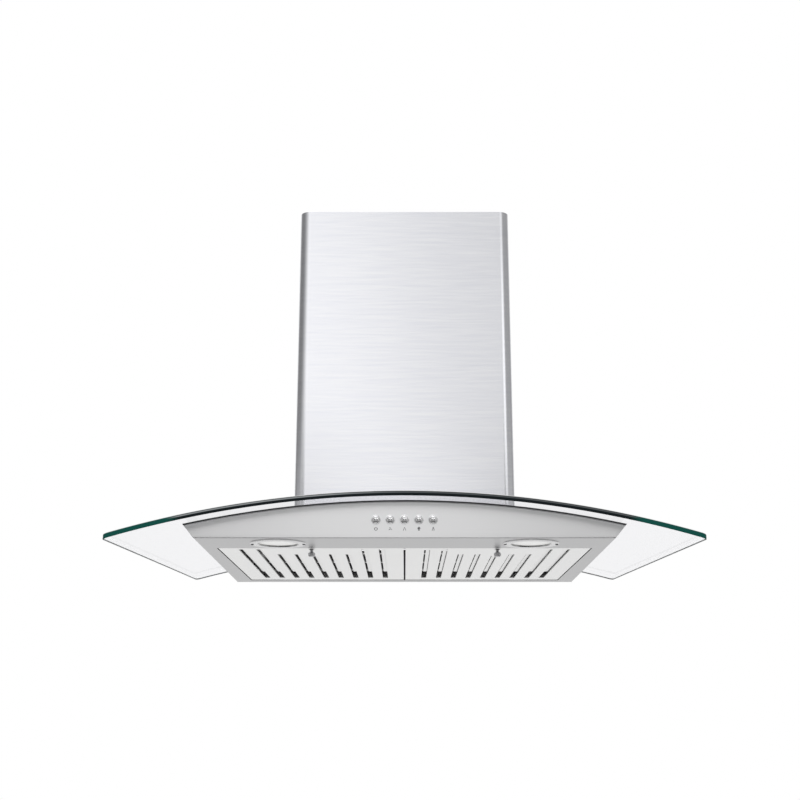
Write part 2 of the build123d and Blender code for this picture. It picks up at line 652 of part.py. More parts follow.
def wiring_loom():
    """Leads from the switches to the lamps, and the loom under the top plate to the terminal box."""
    housing_half = button_x(BUTTON_COUNT - 1) + HOUSING_END
    housing_back = PANEL_INSIDE_Y + HOUSING_DEPTH
    driver_front = LAMP_Y - DRIVER_DEPTH / 2
    lead_y = (housing_back + driver_front) / 2
    lead_height = (BUTTON_HEIGHT - HOUSING_HEIGHT / 2 + TRAY_SHEET + DRIVER_HEIGHT) / 2
    driver_left = DRIVER_OFFSET - DRIVER_WIDTH / 2
    leads = [lead_piece(lead_y, lead_height, housing_half, driver_left, 1),
             lead_piece(LAMP_Y, lead_height, driver_left + DRIVER_WIDTH, LAMP_OFFSET, 1),
             lead_piece(lead_y, lead_height, -LAMP_OFFSET, -housing_half, -1)]
    run_height = arch_height(PLATE_LOW_R, LOOM_PLACE) - LOOM_RADIUS - LOOM_CLEARANCE
    rise_y = AIR_BACK_Y - LOOM_RISE_INSET
    route = [(-LOOM_PLACE, housing_back, up(BUTTON_HEIGHT)),
             (-LOOM_PLACE, housing_back + LOOM_LEVEL, up(BUTTON_HEIGHT)),
             (-LOOM_PLACE, housing_back + 3 * LOOM_LEVEL, up(run_height)),
             (-LOOM_PLACE, rise_y, up(run_height)),
             (-LOOM_PLACE, rise_y, up(CASING_TOP - 3 * LOOM_LEVEL)),
             (TERMINAL_X, TERMINAL_Y, up(CASING_TOP - LOOM_LEVEL)),
             (TERMINAL_X, TERMINAL_Y, up(CASING_TOP + LOOM_LEVEL / 2))]
    path = FilletPolyline(*route, radius=LOOM_BEND)
    loom = sweep(Plane(path @ 0, z_dir=path % 0) * Circle(LOOM_RADIUS), path)
    return joined(leads + [loom])


# Filters

def filter_x(side):
    """Middle of one filter."""
    return side * (CENTRE_GAP + FILTER_WIDTH) / 2


def slot_steps():
    """Slot numbers counted from the middle slot, as many as the face holds."""
    outermost = int((FILTER_WIDTH / 2 - SLOT_BORDER) / SLOT_PITCH)
    return range(-outermost, outermost + 1)


def slot_start(step):
    """Front end of a slot; the slots near the latch start farther back."""
    if step == 0:
        return FILTER_FRONT_Y + LATCH_SLOT_DEPTH
    if abs(step) <= 2:
        return FILTER_FRONT_Y + LATCH_ZONE_DEPTH
    return FILTER_FRONT_Y + SLOT_FRONT_MARGIN


def filter_face(side):
    """Pan with a slotted face, an upturned rim and two tabs that rest on the rear band."""
    x = filter_x(side)
    half = FILTER_WIDTH / 2
    sheet = FILTER_SHEET
    pan = block(x - half, x + half, FILTER_FRONT_Y, FILTER_BACK_Y, 0, FILTER_HEIGHT)
    pan -= block(x - half + sheet, x + half - sheet, FILTER_FRONT_Y + sheet, FILTER_BACK_Y - sheet,
                 sheet, FILTER_HEIGHT + 1)
    slot_end = FILTER_BACK_Y - SLOT_REAR_MARGIN
    for step in slot_steps():
        middle = x + step * SLOT_PITCH
        pan -= block(middle - SLOT_WIDTH / 2, middle + SLOT_WIDTH / 2, slot_start(step), slot_end,
                     -1, sheet + 1)
    stem_y = FILTER_FRONT_Y + LATCH_KNOB_PLACE
    reach = LATCH_STEM_RADIUS + LATCH_CLEARANCE
    pan -= block(x - reach, x + reach, stem_y - reach - LATCH_TRAVEL, stem_y + reach, -1, sheet + 1)
    window = LATCH_WIDTH / 2 + LATCH_CLEARANCE
    pan -= block(x - window, x + window, FILTER_FRONT_Y - 1, FILTER_FRONT_Y + sheet + 1,
                 sheet, LATCH_HIGH + LATCH_CLEARANCE)
    for end in (-1, 1):
        tab_x = x + end * half / 2
        pan += block(tab_x - TAB_WIDTH / 2, tab_x + TAB_WIDTH / 2, FILTER_BACK_Y - sheet,
                     OPENING_BACK_Y + TAB_REACH, TAB_LOW, TAB_LOW + TAB_THICKNESS)
    return pan


def filter_louvres(side):
    """Raised strips set off to one side over the slots, open at the rear ends, tied by cross bars."""
    x = filter_x(side)
    strip_low = FILTER_SHEET + STRIP_RISE
    strip_high = strip_low + FILTER_SHEET
    strip_end = FILTER_BACK_Y - SLOT_REAR_MARGIN - WINDOW_LENGTH
    pieces = []
    for step in slot_steps():
        middle = x + step * SLOT_PITCH + STRIP_OFFSET
        start = slot_start(step)
        pieces.append(block(middle - STRIP_WIDTH / 2, middle + STRIP_WIDTH / 2, start, strip_end,
                            strip_low, strip_high))
    inside = FILTER_WIDTH / 2 - FILTER_SHEET
    first = FILTER_FRONT_Y + LATCH_SLOT_DEPTH + CROSS_BAR_WIDTH
    spacing = (strip_end - CROSS_BAR_WIDTH - first) / (CROSS_BAR_COUNT - 1)
    for number in range(CROSS_BAR_COUNT):
        bar_middle = first + number * spacing
        pieces.append(block(x - inside, x + inside, bar_middle - CROSS_BAR_WIDTH / 2,
                            bar_middle + CROSS_BAR_WIDTH / 2, strip_high, strip_high + CROSS_BAR_HEIGHT))
    return joined(pieces)


def latch_guide(side):
    """Cover that keeps the latch bar on the filter face."""
    x = filter_x(side)
    inner = LATCH_WIDTH / 2 + LATCH_CLEARANCE
    outer = inner + GUIDE_WALL
    front_y = FILTER_FRONT_Y + FILTER_SHEET
    roof = LATCH_HIGH + LATCH_CLEARANCE
    guide = block(x - outer, x + outer, front_y, front_y + GUIDE_LENGTH, FILTER_SHEET, roof + GUIDE_WALL)
    return guide - block(x - inner, x + inner, front_y - 1, front_y + GUIDE_LENGTH + 1, FILTER_SHEET, roof)


def filter_latch(side):
    """Sliding latch bar with a knob below the filter face, drawn back from the front rim."""
    x = filter_x(side)
    stem_y = FILTER_FRONT_Y + LATCH_KNOB_PLACE
    bar_front = FILTER_FRONT_Y + LATCH_CLEARANCE
    latch = block(x - LATCH_WIDTH / 2, x + LATCH_WIDTH / 2, bar_front, bar_front + LATCH_LENGTH,
                  LATCH_LOW, LATCH_HIGH)
    latch += post(x, stem_y, -LATCH_STEM_DROP, LATCH_LOW, LATCH_STEM_RADIUS)
    knob = post(x, stem_y, -LATCH_STEM_DROP - LATCH_KNOB_HEIGHT, -LATCH_STEM_DROP, LATCH_KNOB_RADIUS)
    return latch + fillet(knob.edges(), LATCH_KNOB_HEIGHT / 4)


# Blower casing

def cover_screw_places():
    """Centres of the cover screws, as x and height."""
    x = CASING_HALF - FLANGE_MARGIN
    low = CASING_FLOOR + FLANGE_MARGIN
    high = CASING_TOP - FLANGE_MARGIN
    return [(side * x, height) for side in (-1, 1) for height in (low, (low + high) / 2, high)]


def wall_hole_places():
    """Centres of the wall holes, as x and height."""
    return [(side * WALL_HOLE_SPACING_X / 2, WALL_HOLE_HEIGHT + end * WALL_HOLE_SPACING_Z / 2)
            for side in (-1, 1)
            for end in (-1, 1)]


def blower_casing():
    """Box of thin sheet, open at the front, hung on the wall by its back."""
    sheet = CASING_SHEET
    front = -CASING_DEPTH
    casing = block(-CASING_HALF, CASING_HALF, front, 0, CASING_FLOOR, CASING_TOP)
    casing -= block(-CASING_HALF + sheet, CASING_HALF - sheet, front + sheet, -sheet,
                    CASING_FLOOR + sheet, CASING_TOP - sheet)
    casing -= block(-CASING_HALF + COVER_FLANGE, CASING_HALF - COVER_FLANGE, front - 1, front + 2 * sheet,
                    CASING_FLOOR + COVER_FLANGE, CASING_TOP - COVER_FLANGE)
    casing -= air_opening(0, CASING_FLOOR + 2 * sheet)
    casing -= bolt_holes(0, CASING_FLOOR + 2 * sheet, BOLT_CLEARANCE)
    casing -= post(OUTLET_X, AXIS_Y, CASING_TOP - 2 * sheet, CASING_TOP + 1, COLLAR_BORE)
    casing -= post(TERMINAL_X, TERMINAL_Y, CASING_TOP - 2 * sheet, CASING_TOP + 1, LEAD_HOLE_RADIUS)
    for x, height in wall_hole_places():
        casing -= bar_y(x, height, -2 * sheet, 1, WALL_HOLE_RADIUS)
    for x, height in cover_screw_places():
        casing -= bar_y(x, height, front - 1, front + 2 * sheet, SCREW_RADIUS + SCREW_CLEARANCE)
    for x, y in COLLAR_SCREWS:
        casing -= post(x, y, CASING_TOP - 2 * sheet, CASING_TOP + 1, SCREW_RADIUS + SCREW_CLEARANCE)
    return casing


def casing_cover():
    """Front sheet of the blower casing."""
    front = -CASING_DEPTH
    cover = block(-CASING_HALF, CASING_HALF, front - CASING_SHEET, front, CASING_FLOOR, CASING_TOP)
    for x, height in cover_screw_places():
        cover -= bar_y(x, height, front - 2 * CASING_SHEET, front + 1, SCREW_RADIUS + SCREW_CLEARANCE)
    return cover


def casing_screws():
    """Screws of the front cover."""
    seat = -CASING_DEPTH - CASING_SHEET
    screws = []
    for x, height in cover_screw_places():
        head = bar_y(x, height, seat - SCREW_HEAD_HEIGHT, seat, SCREW_HEAD_RADIUS)
        screws.append(head + bar_y(x, height, seat, seat + SCREW_LENGTH, SCREW_RADIUS))
    return joined(screws)


# Scroll housing

def scroll_outline(grow):
    """Spiral of four quarter arcs with growing radii, joined to the upright outlet, grown by a wall."""
    half = SCROLL_HALF
    centres = [(-half, half), (-half, -half), (half, -half), (half, half)]
    radii = [radius + grow for radius in SCROLL_RADII]
    arcs = [CenterArc(centres[turn], radii[turn], 90 * turn, 90) for turn in range(4)]
    closing = Line(arcs[3] @ 1, arcs[0] @ 0)
    left = TONGUE_PLACE - grow
    right = half + radii[3]
    neck = Pos((left + right) / 2, (half + OUTLET_RISE) / 2) * Rectangle(right - left, OUTLET_RISE - half)
    return make_face(arcs + [closing]) + neck


def scroll_screw_places():
    """Screw centres on the joint flange, relative to the fan axis."""
    reach = SCROLL_WALL + SCROLL_FLANGE / 2
    slant = math.sqrt(0.5)
    left = SCROLL_RADII[1] + reach
    low = SCROLL_RADII[2] + reach
    right = SCROLL_RADII[3] + reach
    return [(-SCROLL_HALF - left * slant, -SCROLL_HALF + left * slant),
            (SCROLL_HALF - low * slant, -SCROLL_HALF - low * slant),
            (SCROLL_HALF + right * slant, SCROLL_HALF - right * slant),
            (SCROLL_HALF + right, OUTLET_RISE - OUTLET_NECK),
            (TONGUE_PLACE - reach, OUTLET_RISE - OUTLET_NECK / 3)]


def scroll_screw_bars(y0, y1, radius):
    """Bars at the flange screws between two planes."""
    return [bar_y(AXIS_X + x, AXIS_HEIGHT + z, y0, y1, radius) for x, z in scroll_screw_places()]


def scroll_half(end):
    """One moulded half of the scroll: end 1 is the wall side, end -1 the front."""
    depth = SCROLL_WIDTH / 2
    passage = scroll_outline(0)
    spans = {1: (AXIS_Y, AXIS_Y + depth), -1: (AXIS_Y - depth, AXIS_Y)}
    y0, y1 = spans[end]
    outer0, outer1 = (y0, y1 + SCROLL_WALL) if end == 1 else (y0 - SCROLL_WALL, y1)
    flange0, flange1 = (y0, y0 + SCROLL_FLANGE_SHEET) if end == 1 else (y1 - SCROLL_FLANGE_SHEET, y1)
    shell = upright_slab(scroll_outline(SCROLL_WALL), outer0, outer1)
    shell += upright_slab(scroll_outline(SCROLL_RIM), flange0, flange1)
    shell -= upright_slab(passage, y0, y1)
    shell -= bar_y(AXIS_X, AXIS_HEIGHT, outer0 - 1, outer1 + 1, SCROLL_INLET_RADIUS)
    return shell - scroll_screw_bars(flange0 - 1, flange1 + 1, SCROLL_SCREW_RADIUS + SCREW_CLEARANCE)


def scroll_screws():
    """Screws through the joint flange of the scroll."""
    seat = AXIS_Y - SCROLL_FLANGE_SHEET
    shanks = scroll_screw_bars(seat, AXIS_Y + 2 * SCROLL_FLANGE_SHEET, SCROLL_SCREW_RADIUS)
    heads = scroll_screw_bars(seat - SCREW_HEAD_HEIGHT, seat, SCROLL_FLANGE / 2)
    return joined([shank + head for shank, head in zip(shanks, heads)])


# Fan and motor

def motor_spokes():
    """Directions of the motor arms, in degrees."""
    return [90 + 360 / MOTOR_ARM_COUNT * number for number in range(MOTOR_ARM_COUNT)]


def bush_places():
    """Centres of the motor bushes, as x and height."""
    return [(AXIS_X + MOTOR_BUSH_PLACE * math.cos(math.radians(angle)),
             AXIS_HEIGHT + MOTOR_BUSH_PLACE * math.sin(math.radians(angle)))
            for angle in motor_spokes()]


def motor_bracket():
    """Ring on the scroll's rear inlet with three arms and a plate for the motor."""
    back = SCROLL_BACK_Y + MOTOR_ARM_SHEET
    ring_radius = SCROLL_INLET_RADIUS + MOTOR_RING_WIDTH
    ring = Circle(ring_radius) - Circle(SCROLL_INLET_RADIUS)
    outline = ring + Circle(MOTOR_PLATE_RADIUS)
    arm_length = SCROLL_INLET_RADIUS + MOTOR_RING_WIDTH / 2
    for angle in motor_spokes():
        outline += Rot(0, 0, angle) * Pos(arm_length / 2, 0) * Rectangle(arm_length, MOTOR_ARM_WIDTH)
    bracket = upright_slab(outline, SCROLL_BACK_Y, back)
    for x, height in bush_places():
        bracket -= bar_y(x, height, SCROLL_BACK_Y - 1, back + 1, SCREW_RADIUS + SCREW_CLEARANCE)
    return bracket


def motor_bushes():
    """Rubber bushes between bracket and motor."""
    bushes = []
    for x, height in bush_places():
        bush = bar_y(x, height, MOTOR_BACK_Y, SCROLL_BACK_Y, MOTOR_BUSH_RADIUS)
        hole = bar_y(x, height, MOTOR_BACK_Y - 1, SCROLL_BACK_Y + 1, SCREW_RADIUS + SCREW_CLEARANCE)
        bushes.append(bush - hole)
    return joined(bushes)


def motor_screws():
    """Screws through bracket and bushes into the motor."""
    seat = SCROLL_BACK_Y + MOTOR_ARM_SHEET
    screws = []
    for x, height in bush_places():
        head = bar_y(x, height, seat, seat + SCREW_HEAD_HEIGHT, SCREW_HEAD_RADIUS)
        screws.append(head + bar_y(x, height, MOTOR_BACK_Y - MOTOR_SCREW_DEPTH, seat, SCREW_RADIUS))
    return joined(screws)


def motor():
    """Motor can inside the rear half of the fan, with a bore for the shaft."""
    can = bar_y(AXIS_X, AXIS_HEIGHT, MOTOR_FRONT_Y, MOTOR_BACK_Y, MOTOR_RADIUS)
    can = fillet(can.edges().filter_by(GeomType.CIRCLE), MOTOR_EDGE_RADIUS)
    can -= bar_y(AXIS_X, AXIS_HEIGHT, MOTOR_FRONT_Y - 1, MOTOR_FRONT_Y + SHAFT_GRIP + SHAFT_END,
                 SHAFT_RADIUS + SHAFT_CLEARANCE)
    for x, height in bush_places():
        can -= bar_y(x, height, MOTOR_BACK_Y - MOTOR_SCREW_DEPTH, MOTOR_BACK_Y + 1,
                     SCREW_RADIUS + SCREW_CLEARANCE)
    return can


def motor_shaft():
    """Shaft from inside the motor to the hub nut."""
    front = HUB_FRONT_Y - HUB_NUT_HEIGHT - SHAFT_END
    return bar_y(AXIS_X, AXIS_HEIGHT, front, MOTOR_FRONT_Y + SHAFT_GRIP, SHAFT_RADIUS)


def blade_outline():
    """One blade: an arc from the inner to the outer radius with an even thickness."""
    inner = IMPELLER_RADIUS - BLADE_DEPTH
    half = BLADE_THICKNESS / 2
    middle = (inner + IMPELLER_RADIUS) / 2
    tip = IMPELLER_RADIUS - half
    bow = BLADE_LEAN / 3
    near = ThreePointArc((inner, -half), (middle, bow - half), (tip, BLADE_LEAN - half))
    far = ThreePointArc((tip, BLADE_LEAN + half), (middle, bow + half), (inner, half))
    return make_face([near, Line(near @ 1, far @ 0), far, Line(far @ 1, near @ 0)])


def impeller():
    """Double-inlet fan wheel: curved blades, two end rings, a middle disc and a hub."""
    y0 = AXIS_Y - IMPELLER_WIDTH / 2
    y1 = AXIS_Y + IMPELLER_WIDTH / 2
    ring = Circle(IMPELLER_RADIUS) - Circle(IMPELLER_RADIUS - BLADE_DEPTH)
    blade = upright_slab(blade_outline(), y0, y1)
    axis = Axis((AXIS_X, 0, up(AXIS_HEIGHT)), (0, 1, 0))
    pieces = [blade.rotate(axis, 360 / BLADE_COUNT * number) for number in range(BLADE_COUNT)]
    pieces.append(upright_slab(ring, y0, y0 + BLADE_RING))
    pieces.append(upright_slab(ring, y1 - BLADE_RING, y1))
    disc = Circle(IMPELLER_RADIUS)
    pieces.append(upright_slab(disc, AXIS_Y - IMPELLER_DISC / 2, AXIS_Y + IMPELLER_DISC / 2))
    pieces.append(upright_slab(Circle(HUB_RADIUS), HUB_FRONT_Y, HUB_BACK_Y))
    return joined(pieces) - bar_y(AXIS_X, AXIS_HEIGHT, HUB_FRONT_Y - 1, HUB_BACK_Y + 1, SHAFT_RADIUS)


def hub_nut():
    """Nut that holds the hub on the shaft."""
    y0 = HUB_FRONT_Y - HUB_NUT_HEIGHT
    nut = hex_bar_y(AXIS_X, AXIS_HEIGHT, y0, HUB_FRONT_Y, HUB_NUT_RADIUS)
    return nut - bar_y(AXIS_X, AXIS_HEIGHT, y0 - 1, HUB_FRONT_Y + 1, SHAFT_RADIUS)


# Capacitor and terminal box

def capacitor():
    """Run capacitor standing beside the scroll."""
    top = CAPACITOR_BASE + CAPACITOR_LENGTH
    can = post(CAPACITOR_X, CAPACITOR_Y, CAPACITOR_BASE, top, CAPACITOR_RADIUS)
    return fillet(can.edges().filter_by(GeomType.CIRCLE), CAPACITOR_EDGE_RADIUS)


def capacitor_clip():
    """Band round the capacitor with a foot on the casing's back sheet."""
    low = CAPACITOR_BASE + (CAPACITOR_LENGTH - CLIP_HEIGHT) / 2
    outer = CAPACITOR_RADIUS + CLIP_SHEET
    band = post(CAPACITOR_X, CAPACITOR_Y, low, low + CLIP_HEIGHT, outer)
    foot = block(CAPACITOR_X - CLIP_HEIGHT / 2, CAPACITOR_X + CLIP_HEIGHT / 2, CAPACITOR_Y, -CASING_SHEET,
                 low, low + CLIP_HEIGHT)
    return band + foot - post(CAPACITOR_X, CAPACITOR_Y, low - 1, low + CLIP_HEIGHT + 1, CAPACITOR_RADIUS)


def terminal_box():
    """Open box for the supply terminals, on the casing's top."""
    half_width = TERMINAL_WIDTH / 2
    half_depth = TERMINAL_DEPTH / 2
    wall = TERMINAL_WALL
    box = block(TERMINAL_X - half_width, TERMINAL_X + half_width,
                TERMINAL_Y - half_depth, TERMINAL_Y + half_depth, CASING_TOP, TERMINAL_TOP)
    box -= block(TERMINAL_X - half_width + wall, TERMINAL_X + half_width - wall,
                 TERMINAL_Y - half_depth + wall, TERMINAL_Y + half_depth - wall,
                 CASING_TOP + wall, TERMINAL_TOP + 1)
    return box - post(TERMINAL_X, TERMINAL_Y, CASING_TOP - 1, CASING_TOP + 2 * wall, LEAD_HOLE_RADIUS)


def terminal_cover():
    """Lid of the terminal box with the hole for the gland."""
    half_width = TERMINAL_WIDTH / 2
    half_depth = TERMINAL_DEPTH / 2
    lid = block(TERMINAL_X - half_width, TERMINAL_X + half_width,
                TERMINAL_Y - half_depth, TERMINAL_Y + half_depth, TERMINAL_TOP, GLAND_BASE)
    return lid - post(TERMINAL_X, TERMINAL_Y, TERMINAL_TOP - 1, GLAND_BASE + 1, GLAND_BORE_RADIUS)


def cable_gland():
    """Gland on the lid for the supply cord."""
    barrel_low = GLAND_BASE + GLAND_HEX_HEIGHT
    barrel_top = barrel_low + GLAND_BARREL_HEIGHT
    gland = hex_post(TERMINAL_X, TERMINAL_Y, GLAND_BASE, barrel_low, GLAND_HEX_RADIUS)
    gland += post(TERMINAL_X, TERMINAL_Y, barrel_low, barrel_top, GLAND_BARREL_RADIUS)
    return gland - post(TERMINAL_X, TERMINAL_Y, GLAND_BASE - 1, barrel_top + 1, GLAND_BORE_RADIUS)


# Outlet collar and damper

def outlet_collar():
    """Square flange and round spigot for the exhaust duct, with a stop lip for the flaps."""
    half = COLLAR_HALF
    collar = block(OUTLET_X - half, OUTLET_X + half, AXIS_Y - half, AXIS_Y + half, CASING_TOP, COLLAR_BASE)
    collar += post(OUTLET_X, AXIS_Y, COLLAR_BASE, COLLAR_BASE + COLLAR_HEIGHT, COLLAR_RADIUS)
    collar -= post(OUTLET_X, AXIS_Y, CASING_TOP - 1, COLLAR_BASE + COLLAR_HEIGHT + 1, COLLAR_BORE)
    lip_top = PIN_HEIGHT - FLAP_THICKNESS / 2
    lip = post(OUTLET_X, AXIS_Y, lip_top - STOP_LIP_HEIGHT, lip_top, COLLAR_BORE)
    lip -= post(OUTLET_X, AXIS_Y, CASING_TOP, PIN_HEIGHT, COLLAR_BORE - STOP_LIP)
    collar += lip
    collar -= damper_pin()
    for x, y in COLLAR_SCREWS:
        collar -= post(x, y, CASING_TOP - 1, COLLAR_BASE + 1, SCREW_RADIUS + SCREW_CLEARANCE)
    return collar


def damper_pin():
    """Pin across the collar, seated in its wall, that carries both flaps."""
    reach = COLLAR_BORE + PIN_SEAT
    return bar_y(OUTLET_X, PIN_HEIGHT, AXIS_Y - reach, AXIS_Y + reach, PIN_RADIUS)


def knuckle_spans(side):
    """Front-to-back spans of one flap's knuckles, measured from the collar's middle."""
    inner = KNUCKLE_GAP / 2 if side == 1 else KNUCKLE_LENGTH + 3 * KNUCKLE_GAP / 2
    return [(-inner - KNUCKLE_LENGTH, -inner), (inner, inner + KNUCKLE_LENGTH)]


def damper_flap(side):
    """Half disc hinged on the pin; it lies on the stop lip when the fan is off."""
    low = PIN_HEIGHT - FLAP_THICKNESS / 2
    high = PIN_HEIGHT + FLAP_THICKNESS / 2
    radius = COLLAR_BORE - FLAP_GAP
    edge = KNUCKLE_RADIUS + KNUCKLE_GAP
    disc = post(OUTLET_X, AXIS_Y, low, high, radius)
    keep_near, keep_far = sorted((OUTLET_X + side * edge, OUTLET_X + side * 2 * radius))
    flap = disc & block(keep_near, keep_far, AXIS_Y - radius, AXIS_Y + radius, low, high)
    for start, end in knuckle_spans(side):
        near, far = sorted((OUTLET_X, OUTLET_X + side * (edge + FLAP_THICKNESS)))
        flap += block(near, far, AXIS_Y + start, AXIS_Y + end, low, high)
        flap += bar_y(OUTLET_X, PIN_HEIGHT, AXIS_Y + start, AXIS_Y + end, KNUCKLE_RADIUS)
    return flap - bar_y(OUTLET_X, PIN_HEIGHT, AXIS_Y - radius, AXIS_Y + radius, PIN_RADIUS + PIN_CLEARANCE)


def collar_screws():
    """Screws of the collar's flange."""
    screws = []
    for x, y in COLLAR_SCREWS:
        head = post(x, y, COLLAR_BASE, COLLAR_BASE + SCREW_HEAD_HEIGHT, SCREW_HEAD_RADIUS)
        screws.append(head + post(x, y, COLLAR_BASE - SCREW_LENGTH, COLLAR_BASE, SCREW_RADIUS))
    return joined(screws)


# Chimney

def channel(half, front, back, corner, sheet, h0, h1):
    """Sheet bent to a channel with rounded front corners and return flanges at the back."""
    outer = Pos(0, (front + back) / 2) * Rectangle(2 * half, back - front)
    outer = fillet(outer.vertices().group_by(Axis.Y)[0], corner)
    inner = Pos(0, (front + back) / 2) * Rectangle(2 * (half - sheet), back - front - 2 * sheet)
    inner = fillet(inner.vertices().group_by(Axis.Y)[0], corner - sheet)
    gap_half = half - sheet - RETURN_FLANGE
    gap = Pos(0, back) * Rectangle(2 * gap_half, 4 * sheet)
    return Pos(0, 0, up(h0)) * extrude(outer - inner - gap, h1 - h0)


def chimney_cover():
    """Outer chimney, standing on the glass."""
    cover = channel(CHIMNEY_HALF, -CHIMNEY_DEPTH, 0, CHIMNEY_CORNER_RADIUS, CHIMNEY_SHEET,
                    0, CHIMNEY_TOP_HEIGHT)
    cover -= arch_core(GLASS_TOP_R + CHIMNEY_GLASS_GAP)
    hole_half = CHIMNEY_HALF + 1
    return cover - bar_x(-BRACKET_PLACE, CHIMNEY_SCREW_HEIGHT, -hole_half, hole_half,
                         SCREW_RADIUS + SCREW_CLEARANCE)


def flue_cover():
    """Upper chimney section, lowered inside the outer one; it slides up to the ceiling."""
    inset = CHIMNEY_SHEET + FLUE_GAP
    return channel(CHIMNEY_HALF - inset, -CHIMNEY_DEPTH + inset, -inset, CHIMNEY_CORNER_RADIUS - inset,
                   CHIMNEY_SHEET, FLUE_BOTTOM_HEIGHT, CHIMNEY_TOP_HEIGHT - FLUE_TOP_DROP)


def chimney_brackets():
    """Brackets from casing to chimney; the lowered flue cover stands on them."""
    inside = CHIMNEY_HALF - CHIMNEY_SHEET
    top = FLUE_BOTTOM_HEIGHT
    y0 = -BRACKET_PLACE - BRACKET_WIDTH / 2
    y1 = y0 + BRACKET_WIDTH
    brackets = []
    for side in (-1, 1):
        near, far = sorted((side * CASING_HALF, side * inside))
        bracket = block(near, far, y0, y1, top - BRACKET_SHEET, top)
        for x0, x1 in ((side * CASING_HALF, side * (CASING_HALF + BRACKET_SHEET)),
                       (side * inside, side * (inside - BRACKET_SHEET))):
            near, far = sorted((x0, x1))
            bracket += block(near, far, y0, y1, top - BRACKET_LEG, top)
        near, far = sorted((side * (inside - 2 * BRACKET_SHEET), side * (inside + 1)))
        brackets.append(bracket - bar_x(-BRACKET_PLACE, CHIMNEY_SCREW_HEIGHT, near, far,
                                        SCREW_RADIUS + SCREW_CLEARANCE))
    return joined(brackets)


def chimney_screws():
    """Flat-headed screws through the chimney's sides into the brackets."""
    screws = []
    for side in (-1, 1):
        seat = side * CHIMNEY_HALF
        near, far = sorted((seat, seat + side * CHIMNEY_SCREW_HEAD_HEIGHT))
        head = bar_x(-BRACKET_PLACE, CHIMNEY_SCREW_HEIGHT, near, far, SCREW_HEAD_RADIUS)
        near, far = sorted((seat, seat - side * SCREW_LENGTH))
        screws.append(head + bar_x(-BRACKET_PLACE, CHIMNEY_SCREW_HEIGHT, near, far, SCREW_RADIUS))
    return joined(screws)


# Every node by name

SINGLE_NODES = [canopy_tray, rear_panel, top_plate, glass_seal, glass_canopy, casing_seal,
                clamp_bolts, clamp_nuts,
                button_bezels, switch_housing, switch_studs, lamp_screws, lamp_driver, wiring_loom,
                blower_casing, casing_cover, casing_screws, scroll_screws,
                motor_bracket, motor_bushes, motor_screws, motor, motor_shaft, impeller, hub_nut,
                capacitor, capacitor_clip, terminal_box, terminal_cover, cable_gland,
                outlet_collar, collar_screws, damper_pin,
                chimney_cover, flue_cover, chimney_brackets, chimney_screws]
PAIRED_NODES = [lamp_bezel, lamp_lens, lamp_body, filter_face, filter_louvres, latch_guide, filter_latch,
                damper_flap]


def all_nodes():
    """Build every node of the hood."""
    nodes = {maker.__name__: maker() for maker in SINGLE_NODES}
    for maker in PAIRED_NODES:
        nodes["left_" + maker.__name__] = maker(-1)
        nodes["right_" + maker.__name__] = maker(1)
    for index in range(BUTTON_COUNT):
        nodes["button_" + str(index + 1)] = button(index)
    nodes["front_scroll"] = scroll_half(-1)
    nodes["rear_scroll"] = scroll_half(1)
    return nodes


os.makedirs("parts", exist_ok=True)
for name, shape in all_nodes().items():
    export_step(shape, "parts/" + name + ".step")
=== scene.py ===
import math

import bmesh
import bpy
import numpy as np
from bpy.props import FloatProperty, FloatVectorProperty, IntProperty, PointerProperty
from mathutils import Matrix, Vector


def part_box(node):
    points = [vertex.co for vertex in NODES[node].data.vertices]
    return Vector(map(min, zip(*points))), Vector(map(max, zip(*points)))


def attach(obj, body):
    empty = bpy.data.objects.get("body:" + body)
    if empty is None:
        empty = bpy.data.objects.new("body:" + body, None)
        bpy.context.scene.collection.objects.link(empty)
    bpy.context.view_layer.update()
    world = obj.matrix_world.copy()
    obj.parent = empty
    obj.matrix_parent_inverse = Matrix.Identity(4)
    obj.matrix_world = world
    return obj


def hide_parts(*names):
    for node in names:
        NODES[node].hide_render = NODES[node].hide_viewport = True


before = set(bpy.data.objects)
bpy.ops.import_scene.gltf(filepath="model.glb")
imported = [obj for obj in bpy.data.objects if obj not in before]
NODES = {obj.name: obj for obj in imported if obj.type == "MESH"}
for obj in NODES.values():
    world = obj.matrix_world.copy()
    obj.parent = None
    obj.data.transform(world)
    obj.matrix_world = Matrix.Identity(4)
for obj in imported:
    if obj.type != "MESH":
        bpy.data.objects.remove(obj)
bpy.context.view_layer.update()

# Looks of a wall-mounted chimney hood with an arched glass canopy.
# Sizes are in metres: the wall is the plane y = 0, the front faces -Y and +Z is up.

bl_info = {
    "name": "Glass canopy hood",
    "version": (1, 0, 0),
    "blender": (4, 5, 0),
    "location": "3D View > Sidebar > Hood",
    "description": "Dresses the frame of a chimney hood with its glass, steel, lamps and studio",
    "category": "Object",
}

# Places read from the frame

TRAY_LOW, TRAY_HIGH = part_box("canopy_tray")
GLASS_LOW, GLASS_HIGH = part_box("glass_canopy")
CASING_LOW, CASING_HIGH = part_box("blower_casing")
UNDERSIDE = TRAY_LOW.z
PANEL_FACE = TRAY_LOW.y
SIDES = ("left", "right")
BUTTONS = sorted(name for name in NODES if name.startswith("button_") and name[-1].isdigit())
BUTTON_BOXES = [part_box(name) for name in BUTTONS]
BUTTON_Z = (BUTTON_BOXES[0][0].z + BUTTON_BOXES[0][1].z) / 2
BUTTON_PITCH = (BUTTON_BOXES[-1][0].x - BUTTON_BOXES[0][0].x) / (len(BUTTONS) - 1)
BUTTON_XS = [(number - (len(BUTTONS) - 1) / 2) * BUTTON_PITCH for number in range(len(BUTTONS))]
BUTTON_RADIUS = (BUTTON_BOXES[0][1].x - BUTTON_BOXES[0][0].x) / 2
